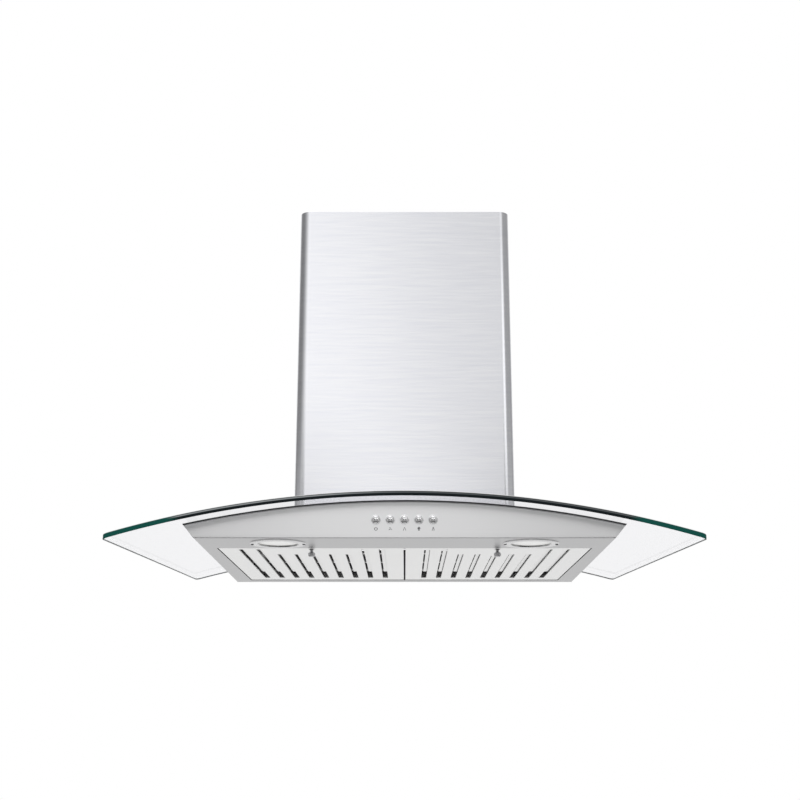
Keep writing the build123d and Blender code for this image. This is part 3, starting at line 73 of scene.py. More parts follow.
BUTTON_ROW_HALF = len(BUTTONS) * BUTTON_PITCH / 2

# Points closer than the weld are one point. Edges that turn by more than these angles stay sharp, are
# rounded as folds or are broken as rims.

WELD = 2e-6
NEAR_NOUGHT = 1e-9
ROUNDING_SLACK = 1e-6
SHARP_ANGLE = math.radians(32)
FOLD_ANGLE = math.radians(30)
RIM_ANGLE = math.radians(60)


# Sizes and colours that a user would change

def length(label, text, default):
    """A length property in metres."""
    return FloatProperty(name=label, description=text, default=default, unit="LENGTH", precision=5)


def amount(label, text, default, unit="NONE"):
    """A number property, with a unit where it has one."""
    return FloatProperty(name=label, description=text, default=default, unit=unit)


def point(label, text, default):
    """A property for a point of the frame."""
    return FloatVectorProperty(name=label, description=text, default=default, subtype="XYZ", size=3)


def colour(label, text, default):
    """A colour property."""
    return FloatVectorProperty(name=label, description=text, default=default, subtype="COLOR",
                               size=3, min=0.0, max=1.0)


class HoodSizes(bpy.types.PropertyGroup):
    """Sizes of the shells and small pieces."""
    arch_radius: length("Arch radius", "Radius of the glass at half its thickness", 1.224)
    glass_thickness: length("Glass thickness", "Thickness of the canopy", 0.006)
    glass_front_width: length("Glass front width", "Width of the canopy at its front edge", 0.700)
    glass_back_width: length("Glass back width", "Width of the canopy at the wall", 0.642)
    glass_corner: length("Glass corner", "Radius of the canopy's plan corners", 0.008)
    glass_arris: length("Glass arris", "Radius of the ground edges", 0.0009)
    glass_line: length("Glass line", "Height of the dull line low on the glass's sides and back", 0.0011)
    air_ledge: length("Air ledge", "Ledge of the casing floor round the air way", 0.030)
    seal_stack: length("Seal stack", "Seal and top plate under the glass", 0.003)
    tray_sheet: length("Tray sheet", "Sheet thickness of the tray", 0.0012)
    tray_front_half: length("Tray front half", "Half width of the underside at the front", 0.2485)
    tray_back_half: length("Tray back half", "Half width of the underside at the wall", 0.2575)
    side_spread: amount("Side spread", "Outward run of the sides for each rise", 0.83)
    fold_radius: length("Fold radius", "Radius of the folds in sheet metal", 0.0007)
    chimney_corner: length("Chimney corner", "Outer radius of the chimney's front corners", 0.014)
    chimney_sheet: length("Chimney sheet", "Sheet thickness of the chimney", 0.001)
    chimney_gap: length("Chimney gap", "Gap between the chimney and the glass", 0.0003)
    return_flange: length("Return flange", "Width of the flanges at the wall", 0.010)
    filter_gap: length("Filter gap", "Gap round the filters", 0.0015)
    filter_rear_gap: length("Filter rear gap", "Gap behind the filters", 0.0075)
    filter_depth: length("Filter depth", "Filter length from front to back", 0.340)
    filter_sheet: length("Filter sheet", "Sheet thickness of the filters", 0.001)
    slot_pitch: length("Slot pitch", "Distance between filter slots", 0.022)
    slot_width: length("Slot width", "Width of a filter slot", 0.0075)
    slot_lip: length("Slot lip", "Height of the lip turned up round a slot", 0.0016)
    slot_margins: FloatVectorProperty(name="Slot starts", unit="LENGTH", size=3,
                                      description="Front ends of the outer, inner and middle slots",
                                      default=(0.011, 0.057, 0.072))
    slot_rear: length("Slot rear margin", "Plain strip behind the slots", 0.022)
    slot_reach: IntProperty(name="Slots each side", description="Slots on each side of the middle one",
                            default=4)
    latch_knob: length("Latch knob", "Radius of the latch knob", 0.0045)
    latch_place: length("Latch place", "Latch knob's distance behind the filter's front", 0.014)
    mark_drop: length("Mark drop", "How far the printed marks sit below the buttons", 0.0110)
    mark_size: length("Mark size", "Half height of a printed mark", 0.0020)


class HoodFinishes(bpy.types.PropertyGroup):
    """Colours of the finishes."""
    chimney: colour("Chimney steel", "Brushed steel of the chimney", (0.90, 0.912, 0.985))
    tray: colour("Tray steel", "Satin steel of the tray", (0.92, 0.92, 0.925))
    # The underside's colour is painted shade: the same steel as the tray, darker where the sheet faces
    # down.
    underside: colour("Underside", "Duller steel of the tray's underside", (0.44, 0.44, 0.445))
    plain: colour("Plain steel", "Mill finish of the hidden sheets", (0.50, 0.50, 0.505))
    filters: colour("Filter steel", "Bright steel of the filters", (0.86, 0.86, 0.855))
    chrome: colour("Chrome", "Buttons and rings", (0.95, 0.95, 0.955))
    knob: colour("Knob", "Turned latch knobs", (0.55, 0.55, 0.56))
    dark_screw: colour("Dark screws", "Blackened screws of the lamps", (0.10, 0.10, 0.105))
    bezel: colour("Lamp ring", "Satin ring of the lamps", (0.66, 0.66, 0.665))
    glass: colour("Glass", "Tint of the canopy faces", (0.955, 0.955, 0.962))
    # The glass edge's colours are painted light: the teal at the tips is partly the glass's own colour, the
    # near black between and the grey streak are painted reflection, and the pale top is a painted
    # highlight.
    edge_tip: colour("Edge at the tips", "Teal of the glass edge near its ends", (0.004, 0.075, 0.060))
    edge_dark_reflection: colour("Edge in the middle", "Near-black of the glass edge", (0.006, 0.010, 0.012))
    edge_painted_streak: colour("Edge streak", "Grey streak along the glass edge", (0.36, 0.38, 0.39))
    edge_top_highlight: colour("Edge top", "Pale arris on top of the glass edge", (0.85, 0.86, 0.86))
    arris: colour("Arris", "Ground arris round the glass", (0.13, 0.14, 0.14))
    lens: colour("Lens", "Frosted lamp lens", (0.97, 0.97, 0.955))
    ink: colour("Ink", "Printed marks", (0.10, 0.10, 0.105))
    rubber: colour("Rubber", "Seals and bushes", (0.022, 0.022, 0.024))
    zinc: colour("Zinc", "Galvanised sheet", (0.56, 0.58, 0.60))
    plated: colour("Plated screws", "Zinc-plated fasteners", (0.62, 0.62, 0.60))
    black_plastic: colour("Black plastic", "Moulded scroll, boxes and wheel", (0.030, 0.030, 0.033))
    grey_plastic: colour("Grey plastic", "Collar and damper", (0.36, 0.37, 0.38))
    aluminium: colour("Aluminium", "Lamp cans", (0.72, 0.73, 0.74))
    motor: colour("Motor paint", "Painted motor can", (0.10, 0.105, 0.115))
    capacitor: colour("Capacitor", "White capacitor can", (0.80, 0.80, 0.77))


class HoodStage(bpy.types.PropertyGroup):
    """Camera, lamps and floor."""
    lens: amount("Lens", "Focal length on a 36 mm sensor", 54.14, "CAMERA")
    shift: FloatVectorProperty(name="Shift", description="Sideways and upward shift of the view", size=2,
                               default=(-0.0057, 0.0))
    pitch: FloatProperty(name="Pitch", description="Upward tilt of the camera", subtype="ANGLE",
                         default=math.radians(15.01))
    camera: point("Camera", "Place of the camera", (0.0, -1.8660, -0.4096))
    floor: length("Floor", "Height of the floor", -1.85)
    aim: point("Aim", "Point that both lamps face", (0.0, -0.2, 0.0))
    key_place: point("Key place", "Place of the large lamp overhead", (-0.5, -0.9, 3.6))
    key_size: length("Key size", "Side of the large lamp overhead", 2.0)
    key_power: amount("Key power", "Power of the large lamp overhead", 16.0, "POWER")
    fill_place: point("Fill place", "Place of the lamp at the front right", (1.35, -2.55, 0.6))
    fill_size: length("Fill size", "Side of the lamp at the front right", 1.1)
    fill_power: amount("Fill power", "Power of the lamp at the front right", 1.4, "POWER")
    ambient: amount("Ambient", "Even light from all round", 0.86)


# Shader maths

# Sockets of a Mix node that mixes colours, and how quickly the finer octaves of noise fade
MIX_FACTOR, MIX_FIRST, MIX_SECOND, MIX_RESULT = 0, 6, 7, 2
NOISE_ROUGHNESS = 0.55


class Value:
    """An output socket of a node; arithmetic on it adds Math nodes to its tree."""

    def __init__(self, board, socket):
        self.board = board
        self.socket = socket

    def out(self, name):
        """Another output of the same node, by name or number."""
        return Value(self.board, self.socket.node.outputs[name])

    def __add__(self, other):
        return self.board.math("ADD", self, other)

    def __sub__(self, other):
        return self.board.math("SUBTRACT", self, other)

    def __rsub__(self, other):
        return self.board.math("SUBTRACT", other, self)

    def __mul__(self, other):
        return self.board.math("MULTIPLY", self, other)

    def __neg__(self):
        return self.board.math("MULTIPLY", self, -1.0)

    def __abs__(self):
        return self.board.math("ABSOLUTE", self)

    __radd__ = __add__
    __rmul__ = __mul__


def between(share, first, second):
    """Number between two numbers by a share; each can be an array or a Value."""
    return first + (second - first) * share


class Board:
    """The node tree of one material or of the world."""

    def __init__(self, tree):
        self.tree = tree
        tree.nodes.clear()

    def node(self, kind, settings=None, sockets=None):
        """Add a node, set its settings, then fill its sockets by name or number; gives its first output."""
        made = self.tree.nodes.new(kind)
        for name, value in (settings or {}).items():
            setattr(made, name, value)
        for name, value in (sockets or {}).items():
            self.feed(made.inputs[name], value)
        return Value(self, made.outputs[0]) if made.outputs else None

    def feed(self, socket, value):
        """Link a value to a socket, or set the socket to a plain number or colour."""
        if isinstance(value, Value):
            self.tree.links.new(value.socket, socket)
        elif socket.type == "RGBA":
            socket.default_value = (*value, 1.0)
        else:
            socket.default_value = value

    def math(self, operation, *values):
        """One Math node."""
        return self.node("ShaderNodeMath", {"operation": operation}, dict(enumerate(values)))

    def mix(self, share, first, second):
        """Colour between two colours."""
        sockets = {MIX_FACTOR: share, MIX_FIRST: first, MIX_SECOND: second}
        return self.node("ShaderNodeMix", {"data_type": "RGBA"}, sockets).out(MIX_RESULT)

    def rise(self, value, start, end):
        """Smooth step of a value from 0 at start to 1 at end."""
        return self.node("ShaderNodeMapRange", {"interpolation_type": "SMOOTHSTEP"},
                         {"Value": value, "From Min": start, "From Max": end})

    def reach(self, x, y):
        """Distance of x and y from nought."""
        return self.math("SQRT", x * x + y * y)

    def place(self):
        """Object coordinates."""
        return self.node("ShaderNodeTexCoord").out("Object")

    def split(self, vector):
        """The x, y and z of a vector."""
        parts = self.node("ShaderNodeSeparateXYZ", {}, {0: vector})
        return parts, parts.out("Y"), parts.out("Z")

    def noise(self, stretch, detail=3.0):
        """Noise on object coordinates times a stretch, which is one number or one for each axis."""
        scale = stretch if isinstance(stretch, tuple) else (stretch, stretch, stretch)
        spread = self.node("ShaderNodeMapping", {}, {"Vector": self.place(), "Scale": scale})
        return self.node("ShaderNodeTexNoise", {}, {"Vector": spread, "Scale": 1.0, "Detail": detail,
                                                    "Roughness": NOISE_ROUGHNESS})

    def bump(self, height, strength, distance):
        """Normal from a height."""
        return self.node("ShaderNodeBump", {}, {"Strength": strength, "Distance": distance,
                                                "Height": height})

    def surface(self, sockets):
        """A Principled surface."""
        return self.node("ShaderNodeBsdfPrincipled", {}, sockets)


def material(name, paint):
    """A material whose surface is what paint draws on its board, made once for each name."""
    full_name = "hood_" + name
    made = bpy.data.materials.get(full_name)
    if made is None:
        made = bpy.data.materials.new(full_name)
        made.use_nodes = True
        board = Board(made.node_tree)
        board.node("ShaderNodeOutputMaterial", {}, {"Surface": paint(board)})
    return made


def shade(tone, factor):
    """A colour made lighter or darker, kept within range."""
    return tuple(min(1.0, part * factor) for part in tone)


def tones():
    """The colours of the finishes, as the user has set them."""
    return bpy.context.scene.hood_finishes


# Metal finishes

LEVEL_GRAIN = (12.0, 480.0, 480.0)
BROAD_GRAIN = 0.22
SHADED_UNDERSIDE_END = (UNDERSIDE + 0.0003, UNDERSIDE + 0.0011)


def brushed_metal(name, tone, grain, roughness, contrast, spread, below=None):
    """Brushed sheet: fine and broad streaks along its grain move its colour by a contrast and its gloss
    by a spread, and soft clouds dull it a little.

    With a tone for below, the level underside of the tray takes that one: painted shade, a darker copy of
    the same steel where the sheet faces down.
    """
    def paint(board):
        fine = board.noise(grain, detail=2.0)
        broad = board.noise(tuple(part * BROAD_GRAIN for part in grain))
        cloud = board.noise(5.0, detail=2.0)
        streak = fine * 0.75 + broad * 0.25
        tint = board.mix(streak, shade(tone, 1 - contrast), shade(tone, 1 + contrast))
        dulled = board.mix(cloud * 0.25, tint, shade(tone, 0.93))
        if below is not None:
            _, _, z = board.split(board.place())
            under = board.mix(streak, shade(below, 1 - contrast), shade(below, 1 + contrast))
            # Painted shade: the level underside takes the darker tone.
            dulled = board.mix(board.rise(z, *SHADED_UNDERSIDE_END), under, dulled)
        return board.surface({"Base Color": dulled, "Metallic": 1.0,
                              "Roughness": roughness + (streak - 0.5) * spread + (cloud - 0.5) * 0.04,
                              "Normal": board.bump(streak, strength=spread * 0.4, distance=0.0004)})
    return material(name, paint)


def tray_steel():
    """Satin steel with its grain running from side to side, and painted shade that makes the level
    underside darker.
    """
    return brushed_metal("tray_steel", tones().tray, LEVEL_GRAIN,
                         roughness=0.31, contrast=0.018, spread=0.014, below=tones().underside)


def plain_steel():
    """Mill-finish steel of the hidden sheets."""
    return brushed_metal("plain_steel", tones().plain, LEVEL_GRAIN,
                         roughness=0.4, contrast=0.03, spread=0.16)


def filter_steel():
    """Bright steel of the filters, grain from side to side."""
    return brushed_metal("filter_steel", tones().filters, (14.0, 600.0, 600.0),
                         roughness=0.36, contrast=0.025, spread=0.08)


def chimney_steel():
    """Brushed steel with level streaks round the chimney."""
    return brushed_metal("chimney_steel", tones().chimney, (15.0, 15.0, 400.0),
                         roughness=0.21, contrast=0.15, spread=0.06)


def lamp_ring_steel():
    """Satin steel of the lamp rings, with no grain of its own."""
    return brushed_metal("lamp_ring", tones().bezel, (60.0, 60.0, 60.0),
                         roughness=0.26, contrast=0.03, spread=0.1)


def lamp_can_metal():
    """Drawn aluminium of the lamp cans."""
    return brushed_metal("lamp_can", tones().aluminium, (300.0, 300.0, 300.0),
                         roughness=0.4, contrast=0.05, spread=0.16)


def polished_metal(name, tone, roughness):
    """Plated metal with faint hairlines and smudges in its gloss."""
    def paint(board):
        hair = board.noise((900.0, 900.0, 5000.0), detail=2.0)
        smudge = board.noise(160.0)
        tint = board.mix(smudge * 0.3, tone, shade(tone, 0.86))
        return board.surface({"Base Color": tint, "Metallic": 1.0,
                              "Roughness": roughness + hair * 0.05 + smudge * 0.04,
                              "Normal": board.bump(hair, strength=0.02, distance=0.0001)})
    return material(name, paint)


def bright_chrome():
    """Chrome of the buttons and their rings."""
    return polished_metal("chrome", tones().chrome, roughness=0.06)


def turned_knob():
    """Turned metal of the latches."""
    return polished_metal("turned_knob", tones().knob, roughness=0.22)


def dark_screw():
    """Blackened screws of the lamps."""
    return polished_metal("dark_screw", tones().dark_screw, roughness=0.3)


def galvanised_sheet():
    """Zinc-coated sheet: crystals of differing grey with a fine grain."""
    def paint(board):
        tone = tones().zinc
        cells = board.node("ShaderNodeTexVoronoi", {}, {"Vector": board.place(), "Scale": 95.0})
        crystal, _, _ = board.split(cells.out("Color"))
        grain = board.noise(700.0)
        tint = board.mix(crystal * 0.8 + grain * 0.2, shade(tone, 0.82), shade(tone, 1.15))
        return board.surface({"Base Color": tint, "Metallic": 0.9,
                              "Roughness": 0.34 + crystal * 0.14 + grain * 0.08,
                              "Normal": board.bump(grain, strength=0.05, distance=0.0003)})
    return material("galvanised_sheet", paint)


def plated_fastener():
    """Zinc plating with a warm cast and turned marks."""
    def paint(board):
        red, green, blue = tones().plated
        cast = board.noise(220.0)
        marks = board.noise(2600.0, detail=1.0)
        tint = board.mix(cast, shade((red, green, blue), 0.84), (red * 1.08, green * 1.03, blue * 0.92))
        return board.surface({"Base Color": tint, "Metallic": 1.0, "Roughness": 0.26 + marks * 0.16,
                              "Normal": board.bump(marks, strength=0.05, distance=0.0001)})
    return material("plated_fastener", paint)


# Plastic, rubber, paint and ink

def moulded_plastic(name, tone, roughness):
    """Moulded plastic with a sparked grain and slight flow marks."""
    def paint(board):
        grain = board.noise(1500.0, detail=2.0)
        flow = board.noise((22.0, 22.0, 60.0))
        tint = board.mix(flow, shade(tone, 0.86), shade(tone, 1.16))
        return board.surface({"Base Color": tint, "Roughness": roughness + grain * 0.16 + flow * 0.05,
                              "Normal": board.bump(grain, strength=0.12, distance=0.0002)})
    return material(name, paint)


def black_plastic():
    """Plastic of the scroll, the boxes and the wheel."""
    return moulded_plastic("black_plastic", tones().black_plastic, roughness=0.42)


def grey_plastic():
    """Plastic of the collar and the damper."""
    return moulded_plastic("grey_plastic", tones().grey_plastic, roughness=0.46)


def matt_rubber():
    """Black rubber with bloom and a fine skin."""
    def paint(board):
        tone = tones().rubber
        bloom = board.noise(60.0, detail=4.0)
        skin = board.noise(2200.0, detail=2.0)
        tint = board.mix(bloom, shade(tone, 0.8), shade(tone, 1.6))
        return board.surface({"Base Color": tint, "Roughness": 0.62 + skin * 0.2,
                              "Normal": board.bump(skin, strength=0.1, distance=0.0002)})
    return material("matt_rubber", paint)


def painted_can(name, tone, roughness):
    """Painted can with orange peel and a worn cast."""
    def paint(board):
        peel = board.noise(420.0, detail=1.0)
        cast = board.noise(30.0)
        tint = board.mix(cast, shade(tone, 0.9), shade(tone, 1.1))
        return board.surface({"Base Color": tint, "Roughness": roughness + cast * 0.1, "Coat Weight": 0.3,
                              "Normal": board.bump(peel, strength=0.06, distance=0.0004)})
    return material(name, paint)


def motor_paint():
    """Dark paint of the motor can."""
    return painted_can("motor_paint", tones().motor, roughness=0.34)


def capacitor_can():
    """White skin of the capacitor."""
    return painted_can("capacitor_can", tones().capacitor, roughness=0.28)


def printed_ink():
    """Pad-printed ink with a slightly broken cover."""
    def paint(board):
        cover = board.noise(3000.0, detail=2.0)
        tint = board.mix(cover, shade(tones().ink, 0.8), shade(tones().ink, 1.4))
        return board.surface({"Base Color": tint, "Roughness": 0.5 + cover * 0.2})
    return material("printed_ink", paint)


# Glass finishes

CLEAR_SHARE = 0.9
EDGE_TEAL = (0.258, 0.278)
LENS_RINGS = 4200.0
# Radii where the painted shade on the lenses starts and where it is full
LENS_RIM_SHADE = (0.004, 0.026)


def clear_glass():
    """Clear toughened glass: a small share is a glossy pane with a breath of dust, and the rest lets light
    straight through. Shadows and what metal mirrors pass through all of it."""
    def paint(board):
        dust = board.noise(40.0, detail=4.0)
        pane = board.surface({"Base Color": tones().glass, "Transmission Weight": 1.0, "IOR": 1.4,
                              "Roughness": dust * 0.012})
        path = board.node("ShaderNodeLightPath")
        passing = board.math("MAXIMUM", path.out("Is Shadow Ray"), path.out("Is Glossy Ray"))
        share = board.math("MAXIMUM", passing, CLEAR_SHARE)
        clear = board.node("ShaderNodeBsdfTransparent", {}, {"Color": tones().glass})
        return board.node("ShaderNodeMixShader", {}, {0: share, 1: pane, 2: clear})
    return material("clear_glass", paint)


def glass_edge_painted_light():
    """Ground front edge in painted reflection and highlight: teal towards the tips, partly the glass's own
    colour, and near black between, a painted dark reflection; a grey streak of painted reflection along its
    upper half, lighter towards the left; and a painted highlight on the pale arris on top. The attribute
    across runs from -0.5 to 0.5 over the glass's thickness."""
    def paint(board):
        x, _, _ = board.split(board.place())
        across = board.node("ShaderNodeAttribute", {"attribute_name": "across"}).out("Fac")
        # Painted reflection: teal towards the tips and near black between.
        outer = board.rise(abs(x), *EDGE_TEAL)
        run = board.noise((22.0, 8.0, 22.0))
        # Painted reflection: a grey streak along the upper half of the edge, lighter towards the left.
        streak = board.rise(across, -0.02, 0.08) * (1 - board.rise(across, 0.22, 0.32))
        painted_light_left = 1 - board.rise(x, -0.12, 0.02) * 0.7
        pale = streak * painted_light_left * (0.5 + run * 0.6) * (1 - outer)
        # Painted highlight along the top arris.
        top = board.rise(across, 0.36, 0.42) * 0.9
        tint = board.mix(outer, tones().edge_dark_reflection, tones().edge_tip)
        painted_streaked = board.mix(pale, tint, tones().edge_painted_streak)
        painted_topped = board.mix(top, painted_streaked, tones().edge_top_highlight)
        return board.surface({"Base Color": painted_topped, "Roughness": 0.3 + run * 0.1,
                              "Specular IOR Level": 0.08})
    return material("glass_edge_painted_light", paint)


def ground_arris():
    """Ground arris of the glass, a dull grey line with a fine grain."""
    def paint(board):
        grain = board.noise(1600.0, detail=2.0)
        tint = board.mix(grain, shade(tones().arris, 0.88), shade(tones().arris, 1.1))
        return board.surface({"Base Color": tint, "Roughness": 0.5 + grain * 0.2})
    return material("ground_arris", paint)


def frosted_lens(offset, middle_y):
    """Frosted cover: faint moulded rings and a soft grain about the middle of each lamp, with painted shade
    that darkens it a little from the middle out to its rim.
    """
    def paint(board):
        x, y, _ = board.split(board.place())
        radius = board.reach(abs(x) - offset, y - middle_y)
        rings = board.math("SINE", radius * LENS_RINGS)
        frost = board.noise(1800.0, detail=2.0)
        relief = rings * 0.5 + frost * 0.4
        # Painted shade: a little darker from the middle out to the rim.
        tint = board.mix(board.rise(radius, *LENS_RIM_SHADE), tones().lens, shade(tones().lens, 0.93))
        return board.surface({"Base Color": tint, "Roughness": 0.36 + frost * 0.16,
                              "Normal": board.bump(relief, strength=0.05, distance=0.0003)})
    return material("frosted_lens", paint)


# The finish that stands for each of the record's material slots
SLOT_FINISHES = {
    "stainless": plain_steel,
    "black_rubber": matt_rubber,
    "galvanised": galvanised_sheet,
    "plated_screws": plated_fastener,
    "polished_metal": bright_chrome,
    "black_plastic": black_plastic,
    "grey_plastic": grey_plastic,
    "lamp_can": lamp_can_metal,
    "motor_paint": motor_paint,
    "capacitor_can": capacitor_can,
}


# Lines, grids and meshes

RIM_SHARE = 0.2
FOLD_SEGMENTS = 3
RIM_SEGMENTS = 2


def rounded_line(corners, radii, closed=False, steps=8, support=0.0):
    """Line through plan corners, each turned by a tangent arc of its own radius.

    At a corner with half angle a, the arc's centre lies r / sin a along the bisector, and the arc is the
    even turn between its two tangent points. With a support, a point stands that far out on each run.
    """
    corners = np.asarray(corners, float)
    last = len(corners) - 1
    pieces = []
    for number, (corner, radius) in enumerate(zip(corners, radii)):
        if radius == 0 or (not closed and number in (0, last)):
            pieces.append(corner[None])
            continue
        back = corners[number - 1] - corner
        ahead = corners[(number + 1) % len(corners)] - corner
        back = back / np.linalg.norm(back)
        ahead = ahead / np.linalg.norm(ahead)
        half = math.acos(np.clip(back @ ahead, -1, 1)) / 2
        bisector = (back + ahead) / np.linalg.norm(back + ahead)
        centre = corner + bisector * radius / math.sin(half)
        start = corner + back * radius / math.tan(half)
        end = corner + ahead * radius / math.tan(half)
        turn = math.pi - 2 * half
        share = np.linspace(0, 1, steps + 1)[:, None]
        arc = np.sin((1 - share) * turn) * (start - centre) + np.sin(share * turn) * (end - centre)
        arc = centre + arc / math.sin(turn)
        if support:
            arc = np.vstack([start + back * support, arc, end + ahead * support])
        pieces.append(arc)
    return np.vstack(pieces)


def filled_line(line, spacing, closed=False):
    """The same line with every run divided evenly into steps no longer than a spacing."""
    ends = np.vstack([line, line[:1]]) if closed else line
    runs = np.linalg.norm(np.diff(ends, axis=0), axis=1)
    counts = np.maximum(1, np.ceil(runs / spacing - ROUNDING_SLACK)).astype(int)
    share = np.concatenate([np.arange(count) / count for count in counts])[:, None]
    start = np.repeat(np.arange(len(runs)), counts)
    points = ends[start] + share * (ends[start + 1] - ends[start])
    return points if closed else np.vstack([points, line[-1:]])


def grid_faces(columns, rows, wrap_columns, wrap_rows):
    """Corner numbers of the quads of a grid, column by column, going round where it wraps."""
    number = np.arange(columns * rows).reshape(columns, rows)
    if wrap_columns:
        number = np.vstack([number, number[:1]])
    if wrap_rows:
        number = np.hstack([number, number[:, :1]])
    return np.stack([number[:-1, :-1], number[1:, :-1], number[1:, 1:], number[:-1, 1:]], axis=-1)


def new_object(name, data):
    """An object at the origin of the scene."""
    made = bpy.data.objects.new(name, data)
    bpy.context.scene.collection.objects.link(made)
    return made


class Patches:
    """Grids of points gathered into one mesh, welded where they meet."""

    def __init__(self):
        self.points = []
        self.faces = []
        self.finish = []
        self.count = 0

    def add(self, grid, wrap_columns=False, wrap_rows=False, finish=0, keep=None):
        """Take a grid of points; keep marks the quads to make, and finish gives their material."""
        faces = grid_faces(*grid.shape[:2], wrap_columns, wrap_rows)
        finish = np.broadcast_to(finish, faces.shape[:2])
        chosen = np.ones(faces.shape[:2], bool) if keep is None else keep
        self.points.append(grid.reshape(-1, 3))
        self.faces.append(faces[chosen] + self.count)
        self.finish.append(finish[chosen])
        self.count += grid.shape[0] * grid.shape[1]

    def piece(self, name, *materials):
        """Make the object, with its doubles merged and its faces turned outwards."""
        mesh = bpy.data.meshes.new(name)
        mesh.from_pydata(np.concatenate(self.points).tolist(), [], np.concatenate(self.faces).tolist())
        mesh.polygons.foreach_set("material_index", np.concatenate(self.finish).astype(np.int32))
        for finish in materials:
            mesh.materials.append(finish)
        edit = bmesh.new()
        edit.from_mesh(mesh)
        bmesh.ops.remove_doubles(edit, verts=edit.verts, dist=WELD)
        bmesh.ops.recalc_face_normals(edit, faces=edit.faces)
        edit.to_mesh(mesh)
        edit.free()
        mesh.shade_smooth()
        mesh.set_sharp_from_angle(angle=SHARP_ANGLE)
        return new_object(name, mesh)


def settle(piece, body, slot, *nodes):
    """Let a piece ride on its body and hide the CAD nodes that it stands for. The slot is not used."""
    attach(piece, body)
    if nodes:
        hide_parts(*nodes)


def round_edges(piece, name, radius, segments, angle):
    """Round every edge that turns by more than an angle."""
    edge = piece.modifiers.new(name, "BEVEL")
    edge.width = radius
    edge.segments = segments
    edge.limit_method = "ANGLE"
    edge.angle_limit = angle


def sheet_metal(piece, thickness, fold_radius=0.0):
    """Give a folded skin its round folds, its thickness measured inwards and its broken rims."""
    if fold_radius:
        round_edges(piece, "folds", fold_radius, FOLD_SEGMENTS, FOLD_ANGLE)
    wall = piece.modifiers.new("sheet", "SOLIDIFY")
    wall.thickness = thickness
    wall.offset = -1.0
    wall.use_even_offset = True
    round_edges(piece, "rims", thickness * RIM_SHARE, RIM_SEGMENTS, RIM_ANGLE)
    flat = piece.modifiers.new("flat_faces", "WEIGHTED_NORMAL")
    flat.keep_sharp = False


def ruled(first, second, shares):
    """Grid between two edges of equally many points: each point moves straight from first to second."""
    shares = np.asarray(shares)[None, :, None]
    return first[:, None] + shares * (second - first)[:, None]


def upright(line, heights):
    """Wall above a line of points: each row is the line raised by one of the heights."""
    rise = np.zeros((1, len(heights), 3))
    rise[..., 2] = heights
    return line[:, None] + rise


def turned(profile, centre, axis, steps):
    """Profile of radius and height carried round an axis through a centre: x and the other level
    direction are the radius times the cosine and sine of the turn."""
    turn = np.linspace(0, 2 * math.pi, steps, endpoint=False)[:, None]
    radius = profile[None, :, 0]
    along = np.broadcast_to(profile[None, :, 1], (steps, len(profile)))
    across = centre[0] + radius * np.cos(turn)
    other = centre[1] + radius * np.sin(turn)
    order = (across, other, along) if axis == "Z" else (across, along, other)
    return np.stack(order, axis=-1)


def turned_piece(name, finish, profile, centre, axis, steps, closed=False):
    """A piece that is one turned profile, which is a closed section or ends on the axis."""
    patches = Patches()
    patches.add(turned(profile, centre, axis, steps), wrap_columns=True, wrap_rows=closed)
    return patches.piece(name, finish)


def flat_points(x, y):
    """Points at the height of the underside."""
    x, y = np.broadcast_arrays(np.asarray(x, float), np.asarray(y, float))
    return np.stack([x, y, np.full(x.shape, UNDERSIDE)], axis=-1)


def arch_z(offset, x):
    """Height of the arch at x: its axis, plus the upright leg of a circle whose radius is the arch radius
    plus an offset."""
    sizes = bpy.context.scene.hood_sizes
    axis = GLASS_HIGH.z - sizes.arch_radius - sizes.glass_thickness / 2
    return axis + np.sqrt((sizes.arch_radius + offset) ** 2 - np.asarray(x) ** 2)


# Glass canopy

GLASS_SPACING = 0.006
GLASS_ROWS = 26
ARRIS_STEPS = 4
FRONT_FACING = -0.5

# Numbers of the glass's finishes, in the order in which its piece takes them
CLEAR, FRONT_EDGE, DULL_LINE = range(3)


def glass_plan(sizes):
    """Plan line of the canopy with its outward directions, and the matching points of the air way.

    The air way's points lie where the straight line from its middle to an outline point leaves it.
    """
    front = sizes.glass_front_width / 2
    back = sizes.glass_back_width / 2
    corners = [(-front, GLASS_LOW.y), (front, GLASS_LOW.y), (back, GLASS_HIGH.y), (-back, GLASS_HIGH.y)]
    outline = rounded_line(corners, [sizes.glass_corner] * 4, closed=True)
    outline = filled_line(outline, GLASS_SPACING, closed=True)
    along = np.roll(outline, -1, axis=0) - np.roll(outline, 1, axis=0)
    outward = np.stack([along[:, 1], -along[:, 0]], axis=-1)
    outward /= np.linalg.norm(outward, axis=1, keepdims=True)
    middle = np.array([0.0, (CASING_LOW.y + CASING_HIGH.y) / 2])
    half = np.array([CASING_HIGH.x, (CASING_HIGH.y - CASING_LOW.y) / 2]) - sizes.air_ledge
    reach = outline - middle
    share = np.min(half / np.maximum(np.abs(reach), NEAR_NOUGHT), axis=1, keepdims=True)
    return outline, outward, middle + reach * share


